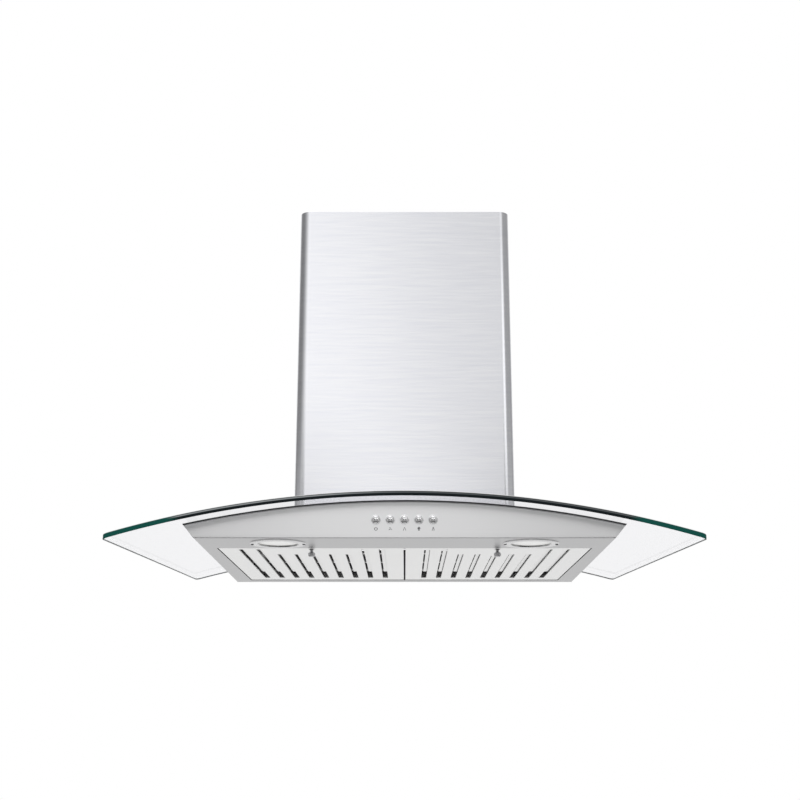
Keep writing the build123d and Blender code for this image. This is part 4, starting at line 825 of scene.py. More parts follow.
def glass_grid(sizes):
    """Canopy as a section carried round its plan line: over the top face, round the ground edge and back
    under the lower face to the air way. A point's height is the arch at its x and its offset.

    Gives the points, their place across the thickness and the finish of each quad.
    """
    outline, outward, inner = glass_plan(sizes)
    half = sizes.glass_thickness / 2
    arris = sizes.glass_arris
    face = ruled(inner, outline - outward * arris, np.linspace(0, 1, GLASS_ROWS))
    turn = np.linspace(0, math.pi / 2, ARRIS_STEPS + 1)[1:]
    inset = arris * (1 - np.sin(turn))
    drop = half - arris * (1 - np.cos(turn))
    edge_inset = np.concatenate([inset, [0.0], inset[::-1]])
    edge = outline[:, None] - outward[:, None] * edge_inset[None, :, None]
    plan = np.concatenate([face, edge, face[:, ::-1]], axis=1)
    top = np.full(GLASS_ROWS, half)
    line = [sizes.glass_line - drop[-1]]
    offset = np.concatenate([top, drop, line, -drop[::-1], -top])
    offset = np.broadcast_to(offset, plan.shape[:2])
    points = np.concatenate([plan, arch_z(offset, plan[..., 0])[..., None]], axis=-1)
    row = np.arange(points.shape[1])[None]
    first = GLASS_ROWS - 1
    on_edge = (row >= first) & (row <= first + 2 * ARRIS_STEPS + 1)
    on_line = on_edge & (row > first + ARRIS_STEPS)
    at_front = (outward[:, 1] < FRONT_FACING)[:, None]
    beside = np.where(on_line, DULL_LINE, CLEAR)
    finish = np.where(on_edge & at_front, FRONT_EDGE, np.where(at_front, CLEAR, beside))
    return points, offset / sizes.glass_thickness, finish


class HOOD_OT_glass(bpy.types.Operator):
    """Make the arched glass canopy"""
    bl_idname = "hood.glass"
    bl_label = "Glass canopy"

    def execute(self, context):
        points, across, finish = glass_grid(context.scene.hood_sizes)
        patches = Patches()
        patches.add(points, wrap_columns=True, wrap_rows=True, finish=finish)
        glass = patches.piece("glass_sheet", clear_glass(), glass_edge_painted_light(), ground_arris())
        if len(glass.data.vertices) != across.size:
            raise RuntimeError("the glass grid lost points")
        mark = glass.data.attributes.new("across", "FLOAT", "POINT")
        mark.data.foreach_set("value", across.reshape(-1).astype(np.float32))
        settle(glass, "hood", "clear_glass", "glass_canopy")
        return {"FINISHED"}


# Chimney and flue

CHIMNEY_ROWS = 9
CHIMNEY_SPACING = 0.02
CHIMNEY_SUPPORT = 0.0006
CHIMNEY_STEPS = 14
BACK_CORNER = 0.0015


def channel_grid(low, high, corner, sizes, arch_offset):
    """Channel of sheet as a plan line carried upwards from its foot to its top.

    The plan line runs round the two return flanges, the sides and the front with its round corners. The
    foot follows the arch at an offset, and is level where there is none.
    """
    inner = high.x - sizes.chimney_sheet - sizes.return_flange
    corners = [(-inner, high.y), (-high.x, high.y), (-high.x, low.y),
               (high.x, low.y), (high.x, high.y), (inner, high.y)]
    radii = [0, BACK_CORNER, corner, corner, BACK_CORNER, 0]
    line = rounded_line(corners, radii, steps=CHIMNEY_STEPS, support=CHIMNEY_SUPPORT)
    line = filled_line(line, CHIMNEY_SPACING)
    foot = np.full(len(line), low.z) if arch_offset is None else arch_z(arch_offset, line[:, 0])
    lower = np.column_stack([line, foot])
    upper = np.column_stack([line, np.full(len(line), high.z)])
    return ruled(lower, upper, np.linspace(0, 1, CHIMNEY_ROWS))


class HOOD_OT_chimney(bpy.types.Operator):
    """Make the chimney and the flue section inside it"""
    bl_idname = "hood.chimney"
    bl_label = "Chimney and flue"

    def execute(self, context):
        sizes = context.scene.hood_sizes
        on_glass = sizes.glass_thickness / 2 + sizes.chimney_gap
        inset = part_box("chimney_cover")[1].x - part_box("flue_cover")[1].x
        shells = [("chimney_shell", "hood", "chimney_cover", sizes.chimney_corner, on_glass),
                  ("flue_shell", "flue", "flue_cover", sizes.chimney_corner - inset, None)]
        for name, body, node, corner, arch_offset in shells:
            patches = Patches()
            patches.add(channel_grid(*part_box(node), corner, sizes, arch_offset))
            shell = patches.piece(name, chimney_steel())
            sheet_metal(shell, sizes.chimney_sheet)
            settle(shell, body, "stainless", node)
        return {"FINISHED"}


# Tray

PANEL_SHARES = np.linspace(0, 1, 7)
BAND_SHARES = np.linspace(0, 1, 7)
HOLE_SHARES = np.linspace(0, 1, 5)
REAR_SHARES = np.linspace(0, 1, 3)
SIDE_SHARES = np.linspace(0, 1, 9)
REAR_POINTS = 15
MIDDLE_STEPS = 4
LAMP_STEPS = 6
MARGIN_STEPS = 3
LAMP_CELL = 0.039
LAMP_HOLE_GAP = 0.0003
RING_FLANGE = 0.0007
ARCH_ROUNDS = 30
IN_PANEL = [0, 2]
IN_UNDERSIDE = [0, 1]


class TrayPlan:
    """Lines and places of the folded tray that its patches share."""

    def __init__(self, sizes):
        self.sizes = sizes
        self.front = TRAY_LOW.y
        self.back = TRAY_HIGH.y
        filter_low, filter_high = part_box("right_filter_face")
        self.hole_half = filter_high.x + sizes.filter_gap
        self.hole_front = filter_low.y - sizes.filter_gap
        self.hole_back = filter_low.y + sizes.filter_depth + sizes.filter_rear_gap
        self.band = between(BAND_SHARES, self.front, self.hole_front)
        lamp_low, lamp_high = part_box("right_lamp_body")
        self.lamp_x = (lamp_low.x + lamp_high.x) / 2
        self.lamp_y = (lamp_low.y + lamp_high.y) / 2
        self.lamp_hole = (lamp_high.x - lamp_low.x) / 2 + LAMP_HOLE_GAP
        self.lamp_inner = self.lamp_x - LAMP_CELL
        self.lamp_outer = self.lamp_x + LAMP_CELL
        self.button_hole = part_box("button_bezels")[1].x - BUTTON_XS[-1] - RING_FLANGE
        self.top_offset = -sizes.glass_thickness / 2 - sizes.seal_stack
        self.corner_x = self.side_top(np.array([self.front]))[0][0]

    def half_at(self, y):
        """Half width of the underside at a depth."""
        share = (np.asarray(y) - self.front) / (self.back - self.front)
        return between(share, self.sizes.tray_front_half, self.sizes.tray_back_half)

    def side_top(self, y):
        """Where a sloping side meets the arch: x grows with the height, and the height is the arch at x."""
        half = self.half_at(y)
        x = half
        for _ in range(ARCH_ROUNDS):
            x = half + self.sizes.side_spread * (arch_z(self.top_offset, x) - UNDERSIDE)
        return x, arch_z(self.top_offset, x)

    def crease(self):
        """Shared x places along the fold between the front panel and the underside, right half."""
        cells = np.arange(len(BUTTONS) + 1) * BUTTON_PITCH / 2
        middle = np.linspace(cells[-1], self.lamp_inner, MIDDLE_STEPS + 1)[1:]
        lamp = np.linspace(self.lamp_inner, self.lamp_outer, LAMP_STEPS + 1)[1:]
        margin = np.linspace(self.lamp_outer, self.hole_half, MARGIN_STEPS + 1)[1:]
        return np.concatenate([cells, middle, lamp, margin, [self.sizes.tray_front_half]])

    def panel_line(self, x, share):
        """Points of the panel at a share of the way from the fold at x up to the arch."""
        beyond = np.maximum(np.abs(x) - BUTTON_ROW_HALF, 0)
        stretch = (self.corner_x - BUTTON_ROW_HALF) / (self.sizes.tray_front_half - BUTTON_ROW_HALF)
        top_x = np.sign(x) * (np.minimum(np.abs(x), BUTTON_ROW_HALF) + beyond * stretch)
        top_z = arch_z(self.top_offset, top_x)
        return np.stack([between(share, x, top_x), np.full_like(x, self.front),
                         between(share, UNDERSIDE, top_z)], axis=-1)


def holed_cell(loop, centre, radius, plane):
    """Grid between a round hole and a closed loop of edge points: each point of the hole lies in the
    direction of its edge point, and the rows go straight from one to the other."""
    spoke = loop[:, plane] - np.array(centre)
    ring = loop.copy()
    ring[:, plane] = centre + radius * spoke / np.linalg.norm(spoke, axis=1, keepdims=True)
    return ruled(ring, loop, HOLE_SHARES)


def cell_loop(lower, right, upper, left):
    """Closed loop round a four-sided cell from its four edges, each given in its own rising order."""
    return np.vstack([lower[:-1], right[:-1], upper[::-1][:-1], left[::-1][:-1]])


def tray_panel(patches, plan, crease):
    """Front panel: a plain wing at each end and a holed cell round each button."""
    whole = np.concatenate([-crease[:0:-1], crease])
    for wing in (whole[whole <= -BUTTON_ROW_HALF + WELD], whole[whole >= BUTTON_ROW_HALF - WELD]):
        patches.add(np.stack([plan.panel_line(wing, share) for share in PANEL_SHARES], axis=1))
    for middle in BUTTON_XS:
        across = whole[np.abs(whole - middle) <= BUTTON_PITCH / 2 + WELD]
        left = np.vstack([plan.panel_line(across[:1], share) for share in PANEL_SHARES])
        right = np.vstack([plan.panel_line(across[-1:], share) for share in PANEL_SHARES])
        loop = cell_loop(plan.panel_line(across, 0.0), right, plan.panel_line(across, 1.0), left)
        patches.add(holed_cell(loop, (middle, BUTTON_Z), plan.button_hole, IN_PANEL), wrap_columns=True)


def tray_lamp_band(patches, plan, crease):
    """Underside in front of the filters: a holed cell round each lamp and plain strips beside them."""
    rear = crease.copy()
    rear[-1] = plan.half_at(plan.hole_front)
    before = crease <= plan.lamp_inner + WELD
    past = crease >= plan.lamp_outer - WELD
    across = crease[(crease >= plan.lamp_inner - WELD) & (crease <= plan.lamp_outer + WELD)]
    for side in (-1, 1):
        for strip in (before, past):
            patches.add(ruled(flat_points(side * crease[strip], plan.front),
                              flat_points(side * rear[strip], plan.hole_front), BAND_SHARES))
        loop = cell_loop(flat_points(side * across, plan.front),
                         flat_points(side * plan.lamp_outer, plan.band),
                         flat_points(side * across, plan.hole_front),
                         flat_points(side * plan.lamp_inner, plan.band))
        centre = (side * plan.lamp_x, plan.lamp_y)
        patches.add(holed_cell(loop, centre, plan.lamp_hole, IN_UNDERSIDE), wrap_columns=True)


def tray_sides(patches, plan):
    """Strips of the underside beside the filters, and the sloping sides that rise to the arch."""
    along = between(SIDE_SHARES, plan.hole_front, plan.hole_back)
    behind = between(REAR_SHARES, plan.hole_back, plan.back)
    whole = np.concatenate([plan.band[:-1], along, behind[1:]])
    top_x, top_z = plan.side_top(whole)
    for side in (-1, 1):
        patches.add(ruled(flat_points(side * plan.hole_half, along),
                          flat_points(side * plan.half_at(along), along), [0, 1]))
        lower = flat_points(side * plan.half_at(whole), whole)
        upper = np.stack([side * top_x, whole, top_z], axis=-1)
        patches.add(ruled(lower, upper, PANEL_SHARES))


def tray_rear_strip(patches, plan):
    """Strip of the underside behind the filters."""
    inside = np.linspace(-plan.hole_half, plan.hole_half, REAR_POINTS)
    edges = []
    for y in (plan.hole_back, plan.back):
        half = plan.half_at(y)
        edges.append(flat_points(np.concatenate([[-half], inside, [half]]), y))
    patches.add(ruled(*edges, REAR_SHARES))


class HOOD_OT_tray(bpy.types.Operator):
    """Make the folded steel tray with its panel, sides and underside"""
    bl_idname = "hood.tray"
    bl_label = "Tray"

    def execute(self, context):
        sizes = context.scene.hood_sizes
        plan = TrayPlan(sizes)
        crease = plan.crease()
        patches = Patches()
        tray_panel(patches, plan, crease)
        tray_lamp_band(patches, plan, crease)
        tray_sides(patches, plan)
        tray_rear_strip(patches, plan)
        tray = patches.piece("tray_shell", tray_steel())
        sheet_metal(tray, sizes.tray_sheet, sizes.fold_radius)
        settle(tray, "hood", "stainless", "canopy_tray")
        return {"FINISHED"}


# Filters

FILTER_RIM = 0.010
FILTER_FOLD_SHARE = 0.6
INNER_SLOTS = 2
LATCH_WINDOW = 0.0063
LATCH_WINDOW_LOW = 0.001
LATCH_WINDOW_HIGH = 0.0036
STEM_SLOT_HALF = 0.0025
STEM_TRAVEL = 0.006
TAB_PLACE = 0.5
TAB_HALF = 0.012
TAB_POINTS = 4
TAB_HEIGHT = 0.0015


class FilterPlan:
    """Places of one filter, with the edges in its face measured from its middle and its front."""

    def __init__(self, side, sizes):
        low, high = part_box(side + "_filter_face")
        self.sizes = sizes
        self.middle = (low.x + high.x) / 2
        self.half = (high.x - low.x) / 2
        self.front = low.y
        self.back = low.y + sizes.filter_depth
        self.tab_end = high.y
        self.slots = range(-sizes.slot_reach, sizes.slot_reach + 1)
        self.slot_end = sizes.filter_depth - sizes.slot_rear
        self.x = self.edges_across()
        self.y = self.edges_along()

    def edges_across(self):
        """Sorted x places of every edge in the face."""
        middles = np.array(self.slots) * self.sizes.slot_pitch
        half_slot = self.sizes.slot_width / 2
        latch = [-LATCH_WINDOW, LATCH_WINDOW, -STEM_SLOT_HALF, STEM_SLOT_HALF]
        sides = [-self.half, self.half]
        return np.sort(np.concatenate([middles - half_slot, middles + half_slot, sides, latch]))

    def edges_along(self):
        """Sorted y places of every edge in the face."""
        stem = self.sizes.latch_place
        return np.sort([0, stem - STEM_SLOT_HALF - STEM_TRAVEL, stem + STEM_SLOT_HALF,
                        *self.sizes.slot_margins, self.slot_end, self.sizes.filter_depth])

    def slot_start(self, step):
        """Front end of the slot at a step from the middle one."""
        outer, inner, middle = self.sizes.slot_margins
        step = np.abs(step)
        return np.where(step == 0, middle, np.where(step <= INNER_SLOTS, inner, outer))

    def points(self, x, y):
        """Points of the face."""
        return flat_points(self.middle + x, self.front + y)


def filter_face(patches, plan):
    """Slotted face: a level grid whose cells are left out inside the slots and the latch's slot."""
    sizes = plan.sizes
    cell_x = ((plan.x[:-1] + plan.x[1:]) / 2)[:, None]
    cell_y = ((plan.y[:-1] + plan.y[1:]) / 2)[None]
    step = np.round(cell_x / sizes.slot_pitch)
    across_slot = np.abs(cell_x - step * sizes.slot_pitch) < sizes.slot_width / 2
    along_slot = (cell_y > plan.slot_start(step)) & (cell_y < plan.slot_end)
    in_slot = across_slot & along_slot & (np.abs(step) <= sizes.slot_reach)
    stem_middle = sizes.latch_place - STEM_TRAVEL / 2
    along_stem = np.abs(cell_y - stem_middle) < STEM_SLOT_HALF + STEM_TRAVEL / 2
    in_stem = along_stem & (np.abs(cell_x) < STEM_SLOT_HALF)
    grid_x, grid_y = np.meshgrid(plan.x, plan.y, indexing="ij")
    patches.add(plan.points(grid_x, grid_y), keep=~(in_slot | in_stem))


def filter_lips(patches, plan):
    """Lips turned up along the four edges of every slot."""
    sizes = plan.sizes
    heights = [0, sizes.slot_lip]
    for step in plan.slots:
        start = float(plan.slot_start(step))
        along = plan.y[(plan.y >= start - WELD) & (plan.y <= plan.slot_end + WELD)]
        near = step * sizes.slot_pitch - sizes.slot_width / 2
        far = step * sizes.slot_pitch + sizes.slot_width / 2
        across = plan.x[(plan.x >= near - WELD) & (plan.x <= far + WELD)]
        for edge in (near, far):
            patches.add(upright(plan.points(edge, along), heights))
        for edge in (start, plan.slot_end):
            patches.add(upright(plan.points(across, edge), heights))


def filter_rims(patches, plan):
    """Rims turned up round the face, with a window for the latch in the front one."""
    heights = [0, LATCH_WINDOW_LOW, LATCH_WINDOW_HIGH, FILTER_RIM]
    beside_window = np.abs(plan.x[:-1] + plan.x[1:]) / 2 >= LATCH_WINDOW
    front_wall = beside_window[:, None] | np.array([[True, False, True]])
    patches.add(upright(plan.points(plan.x, 0.0), heights), keep=front_wall)
    patches.add(upright(plan.points(plan.x, plan.sizes.filter_depth), heights))
    for edge in (plan.x[0], plan.x[-1]):
        patches.add(upright(plan.points(edge, plan.y), heights))


def filter_tabs(patches, plan):
    """Two tabs that rest on the band behind the filter."""
    lift = np.array([0, 0, TAB_HEIGHT])
    for end in (-TAB_PLACE, TAB_PLACE):
        across = plan.middle + end * plan.half + np.linspace(-TAB_HALF, TAB_HALF, TAB_POINTS)
        near = flat_points(across, plan.back) + lift
        far = flat_points(across, plan.tab_end) + lift
        patches.add(ruled(near, far, [0, 1]))


class HOOD_OT_filters(bpy.types.Operator):
    """Make the two slotted filters"""
    bl_idname = "hood.filters"
    bl_label = "Filters"

    def execute(self, context):
        sizes = context.scene.hood_sizes
        for side in SIDES:
            plan = FilterPlan(side, sizes)
            patches = Patches()
            filter_face(patches, plan)
            filter_lips(patches, plan)
            filter_rims(patches, plan)
            filter_tabs(patches, plan)
            pan = patches.piece(side + "_filter_pan", filter_steel())
            sheet_metal(pan, sizes.filter_sheet, sizes.fold_radius * FILTER_FOLD_SHARE)
            settle(pan, side + "_filter", "stainless", side + "_filter_face")
        return {"FINISHED"}


# Latches

# Corners of a knob from its neck down: share of the grip's radius, height above its end, rounding
KNOB_CORNERS = ((0.432, 0.0068, 0.0008), (0.72, 0.0058, 0.0006), (1.0, 0.0046, 0.0006),
                (0.94, 0.0018, 0.0008), (0.7, 0.0002, 0.0006))
STEM_SHARE = 0.48
STEM_ROUND = 0.0002
STEM_SINK = 0.0005
KNOB_STEPS = 36
BAR_LIFT = 0.0013
BAR_ROUND = 0.0006


def knob_profile(sizes, low, high):
    """Radius and height of the latch's stem and knob: a thin stem, a flared grip and a domed end."""
    grip = sizes.latch_knob
    stem = grip * STEM_SHARE
    flare = [(grip * share, low + height) for share, height, _ in KNOB_CORNERS]
    rounds = [rounding for _, _, rounding in KNOB_CORNERS]
    return rounded_line([(0, high), (stem, high), *flare, (0, low)], [0, STEM_ROUND, *rounds, 0], steps=5)


def latch_bar(low, high):
    """Bar of a latch: a rounded section grown from its middle, carried from front to back and drawn in to
    its middle again."""
    foot = UNDERSIDE + BAR_LIFT
    corners = [(low.x, foot), (high.x, foot), (high.x, high.z), (low.x, high.z)]
    section = rounded_line(corners, [BAR_ROUND] * 4, closed=True, steps=4)
    centre = np.array([(low.x + high.x) / 2, (foot + high.z) / 2])
    growth = np.array([0.0, 1.0, 1.0, 0.0])[None, :, None]
    plan = centre + growth * (section - centre)[:, None]
    depth = np.broadcast_to([low.y, low.y, high.y, high.y], plan.shape[:2])
    return np.stack([plan[..., 0], depth, plan[..., 1]], axis=-1)


class HOOD_OT_latches(bpy.types.Operator):
    """Make the filter latches with their turned knobs"""
    bl_idname = "hood.latches"
    bl_label = "Latches"

    def execute(self, context):
        sizes = context.scene.hood_sizes
        for side in SIDES:
            node = side + "_filter_latch"
            low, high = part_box(node)
            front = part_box(side + "_filter_face")[0].y
            centre = ((low.x + high.x) / 2, front + sizes.latch_place)
            knob = knob_profile(sizes, low.z, high.z - STEM_SINK)
            patches = Patches()
            patches.add(turned(knob, centre, "Z", KNOB_STEPS), wrap_columns=True)
            patches.add(latch_bar(low, high), wrap_columns=True)
            latch = patches.piece(side + "_latch_knob", turned_knob())
            settle(latch, side + "_latch", "polished_metal", node)
        return {"FINISHED"}


# Buttons, rings and printed marks

BUTTON_CROWN = 0.0022
BUTTON_DOME_SHARE = 0.93
BUTTON_SHOULDER = 0.0002
BUTTON_BODY = 0.0105
BUTTON_STEM = 0.002
BUTTON_GAP = 0.0003
BUTTON_STEPS = 40
DOME_POINTS = 13
RING_ROUNDS = (0, 0.0003, 0.0005, 0, 0, 0)
MARK_STROKE = 0.00068
MARK_PROUD = 0.00012
ARC_POINTS = 25


def button_profile(front, back):
    """Radius and depth of a button: a shallow dome, which is part of an ellipse as deep as the crown, then
    a shoulder, the body and its stem."""
    share = np.linspace(0, BUTTON_DOME_SHARE, DOME_POINTS)
    dome = np.column_stack([share * BUTTON_RADIUS, front + BUTTON_CROWN * (1 - np.sqrt(1 - share ** 2))])
    body_end = front + BUTTON_BODY
    tail = [(BUTTON_RADIUS, front + BUTTON_CROWN + BUTTON_SHOULDER), (BUTTON_RADIUS, body_end),
            (BUTTON_STEM, body_end), (BUTTON_STEM, back), (0, back)]
    return np.vstack([dome, tail])


def ring_profile(low, high):
    """Closed section of a button's ring: its sleeve in the panel and its rounded rim in front."""
    inner = BUTTON_RADIUS + BUTTON_GAP
    outer = high.x - BUTTON_XS[-1]
    sleeve = outer - RING_FLANGE
    corners = [(inner, high.y), (inner, low.y), (outer, low.y), (outer, PANEL_FACE),
               (sleeve, PANEL_FACE), (sleeve, high.y)]
    return rounded_line(corners, RING_ROUNDS, closed=True, steps=5)


class HOOD_OT_buttons(bpy.types.Operator):
    """Make the push buttons and their rings"""
    bl_idname = "hood.buttons"
    bl_label = "Buttons"

    def execute(self, context):
        chrome = bright_chrome()
        section = ring_profile(*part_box("button_bezels"))
        rings = Patches()
        for name, (low, high), x in zip(BUTTONS, BUTTON_BOXES, BUTTON_XS):
            centre = (x, BUTTON_Z)
            profile = button_profile(low.y, high.y)
            cap = turned_piece(name + "_cap", chrome, profile, centre, "Y", BUTTON_STEPS)
            settle(cap, name, "polished_metal", name)
            rings.add(turned(section, centre, "Y", BUTTON_STEPS), wrap_columns=True, wrap_rows=True)
        settle(rings.piece("button_rings", chrome), "hood", "polished_metal", "button_bezels")
        return {"FINISHED"}


def stroke(line):
    """Flat ribbon of the printed stroke's width along a line of x and z places."""
    along = np.gradient(line, axis=0)
    aside = np.stack([-along[:, 1], along[:, 0]], axis=-1)
    aside *= MARK_STROKE / 2 / np.linalg.norm(aside, axis=1, keepdims=True)
    return np.stack([line - aside, line + aside], axis=1)


def straight(*corners):
    """Straight runs through corners."""
    return np.array(corners, float)


def arc_line(radius, start, end, lift=0.0):
    """Part of a circle between two angles in degrees, about a point above the middle of a mark."""
    turn = np.radians(np.linspace(start, end, ARC_POINTS))
    return np.column_stack([radius * np.cos(turn), lift + radius * np.sin(turn)])


def spoke(inner, outer, angle):
    """Straight run outwards between two radii at an angle in degrees."""
    turn = math.radians(angle)
    return np.outer((inner, outer), (math.cos(turn), math.sin(turn)))


def mark_strokes(size):
    """Strokes of the five marks, in half heights of a mark: a power ring, a fan, a peak for full speed, a
    lamp and a timer."""
    power = [arc_line(0.85, 125, 415), straight((0, 0.25), (0, 1.05))]
    fan = [spoke(0.15, 1.0, angle) for angle in (100, 220, 340)]
    peak = [straight((-0.75, -0.95), (0, 0.9), (0.75, -0.95))]
    lamp = [arc_line(0.65, 0, 360, 0.3), arc_line(0.25, 0, 360, 0.3), straight((-0.5, -0.85), (0.5, -0.85))]
    timer = [straight((-0.3, 0.85), (0.3, 0.85)),
             straight((0, 0.85), (-0.7, -0.85), (0.7, -0.85), (0, 0.85))]
    return [[line * size for line in strokes] for strokes in (power, fan, peak, lamp, timer)]


class HOOD_OT_marks(bpy.types.Operator):
    """Print the plain marks under the buttons"""
    bl_idname = "hood.marks"
    bl_label = "Printed marks"

    def execute(self, context):
        sizes = context.scene.hood_sizes
        middle_z = BUTTON_Z - sizes.mark_drop
        patches = Patches()
        for x, strokes in zip(BUTTON_XS, mark_strokes(sizes.mark_size)):
            for line in strokes:
                flat = stroke(line)
                depth = np.full(flat.shape[:2], PANEL_FACE - MARK_PROUD)
                patches.add(np.stack([x + flat[..., 0], depth, middle_z + flat[..., 1]], axis=-1))
        marks = patches.piece("printed_marks", printed_ink())
        wall = marks.modifiers.new("print", "SOLIDIFY")
        wall.thickness = MARK_PROUD
        settle(marks, "hood", "black_plastic")
        return {"FINISHED"}


# Lamps

LAMP_CONE = 0.0008
LAMP_EDGE_RUN = 0.0012
LAMP_EDGE_RISE = 0.0005
LAMP_ROUNDS = (0, 0.0004, 0.0008, 0.0002, 0, 0, 0, 0, 0)
LAMP_WALL = 0.0015
LAMP_RING_STEPS = 72
LENS_COVERED = 0.0022
LENS_BULGE = 0.0006
LENS_POINTS = 12
LENS_STEPS = 64


def lamp_ring_profile(low, high, window, skirt):
    """Closed section of a lamp ring: a coned window, a slightly dished flange and the skirt above it."""
    outer = (high.x - low.x) / 2
    bore = skirt - LAMP_WALL
    corners = [(window, UNDERSIDE), (window + LAMP_CONE, low.z), (outer - LAMP_EDGE_RUN, low.z),
               (outer, UNDERSIDE - LAMP_EDGE_RISE), (outer, UNDERSIDE), (skirt, UNDERSIDE),
               (skirt, high.z), (bore, high.z), (bore, UNDERSIDE)]
    return rounded_line(corners, LAMP_ROUNDS, closed=True, steps=5)


def lens_profile(low, high):
    """Radius and height of a lens: it bulges downwards by the square of the radius and is flat on top."""
    radius = (high.x - low.x) / 2
    share = np.linspace(0, 1, LENS_POINTS)
    bulge = np.column_stack([share * radius, low.z + LENS_BULGE * share ** 2])
    return np.vstack([bulge, [(radius, high.z), (0, high.z)]])


class HOOD_OT_lamps(bpy.types.Operator):
    """Make the lamp rings and their frosted lenses"""
    bl_idname = "hood.lamps"
    bl_label = "Lamps"

    def execute(self, context):
        for side in SIDES:
            low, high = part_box(side + "_lamp_bezel")
            lens_low, lens_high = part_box(side + "_lamp_lens")
            can_low, can_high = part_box(side + "_lamp_body")
            middle = ((low.x + high.x) / 2, (low.y + high.y) / 2)
            window = (lens_high.x - lens_low.x) / 2 - LENS_COVERED
            skirt = (can_high.x - can_low.x) / 2
            section = lamp_ring_profile(low, high, window, skirt)
            ring = turned_piece(side + "_lamp_ring", lamp_ring_steel(), section, middle, "Z",
                                LAMP_RING_STEPS, closed=True)
            settle(ring, "hood", "polished_metal", side + "_lamp_bezel")
            frosted = frosted_lens(abs(middle[0]), middle[1])
            profile = lens_profile(lens_low, lens_high)
            cover = turned_piece(side + "_lamp_cover", frosted, profile, middle, "Z", LENS_STEPS)
            settle(cover, "hood", "frosted_lens", side + "_lamp_lens")
        return {"FINISHED"}


# Pieces that keep their CAD shape

class HOOD_OT_frame(bpy.types.Operator):
    """Give every CAD node that stays in view the finish of its slot"""
    bl_idname = "hood.frame"
    bl_label = "Frame finishes"

    def execute(self, context):
        for name, node in NODES.items():
            if node.hide_render:
                continue
            holder = node.material_slots[0]
            if name.endswith("_louvres"):
                holder.material = filter_steel()
            elif name == "lamp_screws":
                holder.material = dark_screw()
            else:
                slot = holder.material.name.split(".")[0]
                holder.material = SLOT_FINISHES[slot]()
        return {"FINISHED"}


# Studio

SENSOR_WIDTH = 36.0
FLOOR_RADIUS = 2.0
FLOOR_FADE = (0.9, 1.9)
FLOOR_RINGS = 8
FLOOR_STEPS = 96

# Where the mirrored room changes, as starts and ends in parts of a unit direction, and its levels
CHIMNEY_HEIGHT = (0.16, 0.212)
REAR_START = (0.0, 0.5)
CEILING_START = (0.45, 0.62)
WHITE_START = (0.72, 0.9)
GROUND_HEIGHT = (0.06, 0.18)
GROUND_FRONT = (0.0, 0.2)
GROUND_SIDES = (0.75, 0.95)
GROUND_DARK = (0.34, 0.44)
CEILING_LEVEL = 0.85
GROUND_LEVELS = (0.5, 0.02)


def panel_light(board, x):
    """Light ahead at the height that the front panel mirrors: bright in the middle, dark beside it and half
    bright further out."""
    centre = 1.3 - board.rise(x, -0.06, 0.1) * 0.2
    beside = board.rise(abs(x), 0.02, 0.16)
    further = board.rise(abs(x), 0.42, 0.65)
    return between(beside, centre, 0.01) + further * 0.5


def chimney_light(board, x, z):
    """Light ahead at the height that the chimney mirrors: brightest just left of the middle, falling off to
    both sides, and a little lower near its top."""
    left = between(board.rise(x, -1.0, 0.0), 0.18, 1.28)
    right = board.rise(x, -0.12, 0.1) * 0.56 - board.rise(x, 0.14, 0.26) * 0.22
    right_end = board.rise(x, 0.45, 0.7) * 0.58
    fall = board.rise(z, 0.26, 0.42) * 0.13
    return (left - right - right_end) * (1 - fall)


def rear_light(board, x):
    """Light behind: bright in the middle and dim at the sides, which the chimney's sides mirror."""
    side = 0.22 + board.rise(x, -0.1, 0.1) * 0.12
    return between(board.rise(abs(x), 0.45, 0.85), 0.86, side)


def mirrored_room(board):
    """How bright metal sees the room, by direction: x, y and z are parts of a unit vector, and 1 is white.

    The light ahead turns into the light behind with y, and both into a pale ceiling with z. Low in front
    it is half bright, and nearly black further down, so that the underside stays grey.
    """
    x, y, z = board.split(board.node("ShaderNodeTexCoord").out("Generated"))
    front = between(board.rise(z, *CHIMNEY_HEIGHT), panel_light(board, x), chimney_light(board, x, z))
    level = between(board.rise(y, *REAR_START), front, rear_light(board, x))
    lifted = between(board.rise(z, *CEILING_START), level, CEILING_LEVEL)
    ceiling = between(board.rise(z, *WHITE_START), lifted, 1.0)
    low = board.rise(-z, *GROUND_HEIGHT)
    in_front = board.rise(-y, *GROUND_FRONT)
    inwards = 1 - board.rise(abs(x), *GROUND_SIDES)
    ground = between(board.rise(-z, *GROUND_DARK), *GROUND_LEVELS)
    return between(low * in_front * inwards, ceiling, ground)


def studio_world(ambient):
    """White to the camera and through glass, a room for metal to mirror, and even light for the rest."""
    world = bpy.data.worlds.new("studio")
    world.use_nodes = True
    board = Board(world.node_tree)
    path = board.node("ShaderNodeLightPath")
    plain = board.math("MAXIMUM", path.out("Is Camera Ray"), path.out("Is Transmission Ray"))
    glossy = path.out("Is Glossy Ray") * (1 - plain)
    other = 1 - board.math("MAXIMUM", plain, glossy)
    strength = plain + glossy * mirrored_room(board) + other * ambient
    light = board.node("ShaderNodeBackground", {}, {"Color": (1.0, 1.0, 1.0), "Strength": strength})
    board.node("ShaderNodeOutputWorld", {}, {"Surface": light})
    bpy.context.scene.world = world


def soft_lamp(name, place, aim, size, power):
    """Large square lamp turned towards a point."""
    lamp = bpy.data.lights.new(name, "AREA")
    lamp.size = size
    lamp.energy = power
    made = new_object(name, lamp)
    made.location = place
    made.rotation_mode = "QUATERNION"
    made.rotation_quaternion = (Vector(place) - Vector(aim)).to_track_quat("Z", "Y")


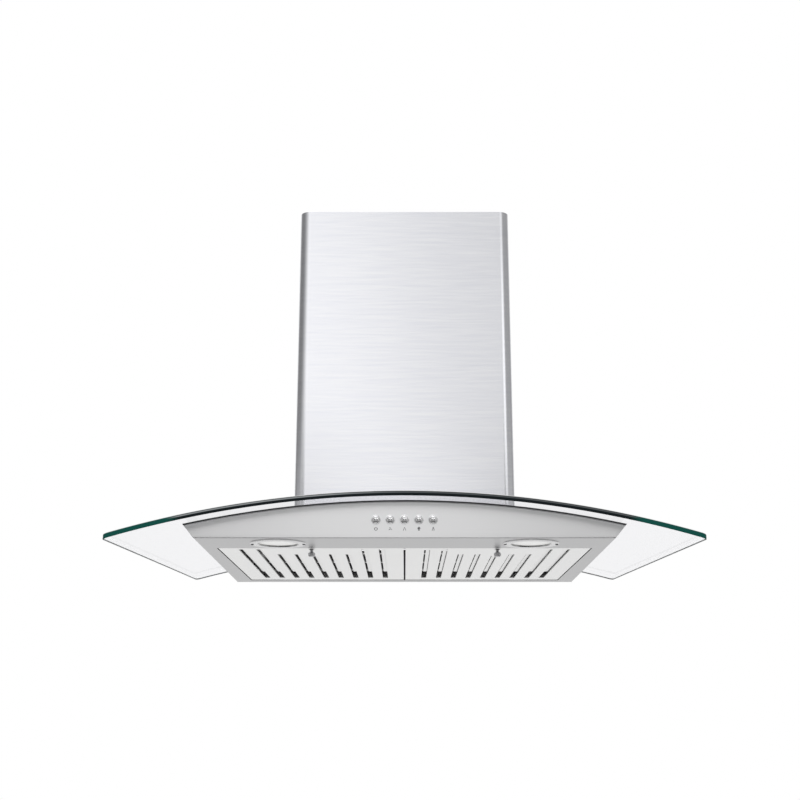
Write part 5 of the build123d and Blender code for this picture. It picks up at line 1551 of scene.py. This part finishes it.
def floor_finish():
    """Pale floor, faintly mottled, that fades out round the hood."""
    def paint(board):
        x, y, _ = board.split(board.place())
        fade = board.rise(board.reach(x, y), *FLOOR_FADE)
        tint = board.mix(board.noise(3.0), (0.88, 0.88, 0.88), (0.92, 0.92, 0.92))
        return board.surface({"Base Color": tint, "Roughness": 0.8, "Alpha": 1 - fade})
    return material("pale_floor", paint)


def pale_floor(height):
    """Round level floor that keeps the hood's shadow."""
    radius = np.linspace(0.0, FLOOR_RADIUS, FLOOR_RINGS)
    profile = np.column_stack([radius, np.full(FLOOR_RINGS, height)])
    turned_piece("floor", floor_finish(), profile, (0.0, 0.0), "Z", FLOOR_STEPS)


def photo_camera(stage):
    """Camera at the photograph's viewing angle, tilted up from below the hood."""
    camera = bpy.data.cameras.new("photo_camera")
    camera.lens = stage.lens
    camera.sensor_width = SENSOR_WIDTH
    camera.shift_x, camera.shift_y = stage.shift
    made = new_object("photo_camera", camera)
    made.location = stage.camera
    made.rotation_euler = (math.pi / 2 + stage.pitch, 0, 0)
    bpy.context.scene.camera = made


class HOOD_OT_stage(bpy.types.Operator):
    """Set up the white studio with its light, floor, lamps and camera"""
    bl_idname = "hood.stage"
    bl_label = "Studio"

    def execute(self, context):
        stage = context.scene.hood_stage
        context.scene.view_settings.view_transform = "Standard"
        studio_world(stage.ambient)
        pale_floor(stage.floor)
        soft_lamp("key_lamp", stage.key_place, stage.aim, stage.key_size, stage.key_power)
        soft_lamp("fill_lamp", stage.fill_place, stage.aim, stage.fill_size, stage.fill_power)
        photo_camera(stage)
        return {"FINISHED"}


# Sidebar and start

class HOOD_PT_panel(bpy.types.Panel):
    """Sidebar panel that lists the pieces"""
    bl_idname = "HOOD_PT_panel"
    bl_label = "Hood"
    bl_space_type = "VIEW_3D"
    bl_region_type = "UI"
    bl_category = "Hood"

    def draw(self, context):
        for maker in MAKERS:
            self.layout.operator(maker.bl_idname)


MAKERS = (HOOD_OT_glass, HOOD_OT_chimney, HOOD_OT_tray, HOOD_OT_filters, HOOD_OT_latches, HOOD_OT_buttons,
          HOOD_OT_marks, HOOD_OT_lamps, HOOD_OT_frame, HOOD_OT_stage)
GROUPS = {"hood_sizes": HoodSizes, "hood_finishes": HoodFinishes, "hood_stage": HoodStage}


def register():
    for group in GROUPS.values():
        bpy.utils.register_class(group)
    for maker in MAKERS:
        bpy.utils.register_class(maker)
    bpy.utils.register_class(HOOD_PT_panel)
    for name, group in GROUPS.items():
        setattr(bpy.types.Scene, name, PointerProperty(type=group))


def unregister():
    for name in GROUPS:
        delattr(bpy.types.Scene, name)
    for made in (HOOD_PT_panel, *reversed(MAKERS), *reversed(list(GROUPS.values()))):
        bpy.utils.unregister_class(made)


def main():
    register()
    bpy.ops.hood.glass()
    bpy.ops.hood.chimney()
    bpy.ops.hood.tray()
    bpy.ops.hood.filters()
    bpy.ops.hood.latches()
    bpy.ops.hood.buttons()
    bpy.ops.hood.marks()
    bpy.ops.hood.lamps()
    bpy.ops.hood.frame()
    bpy.ops.hood.stage()


if __name__ == "__main__":
    main()
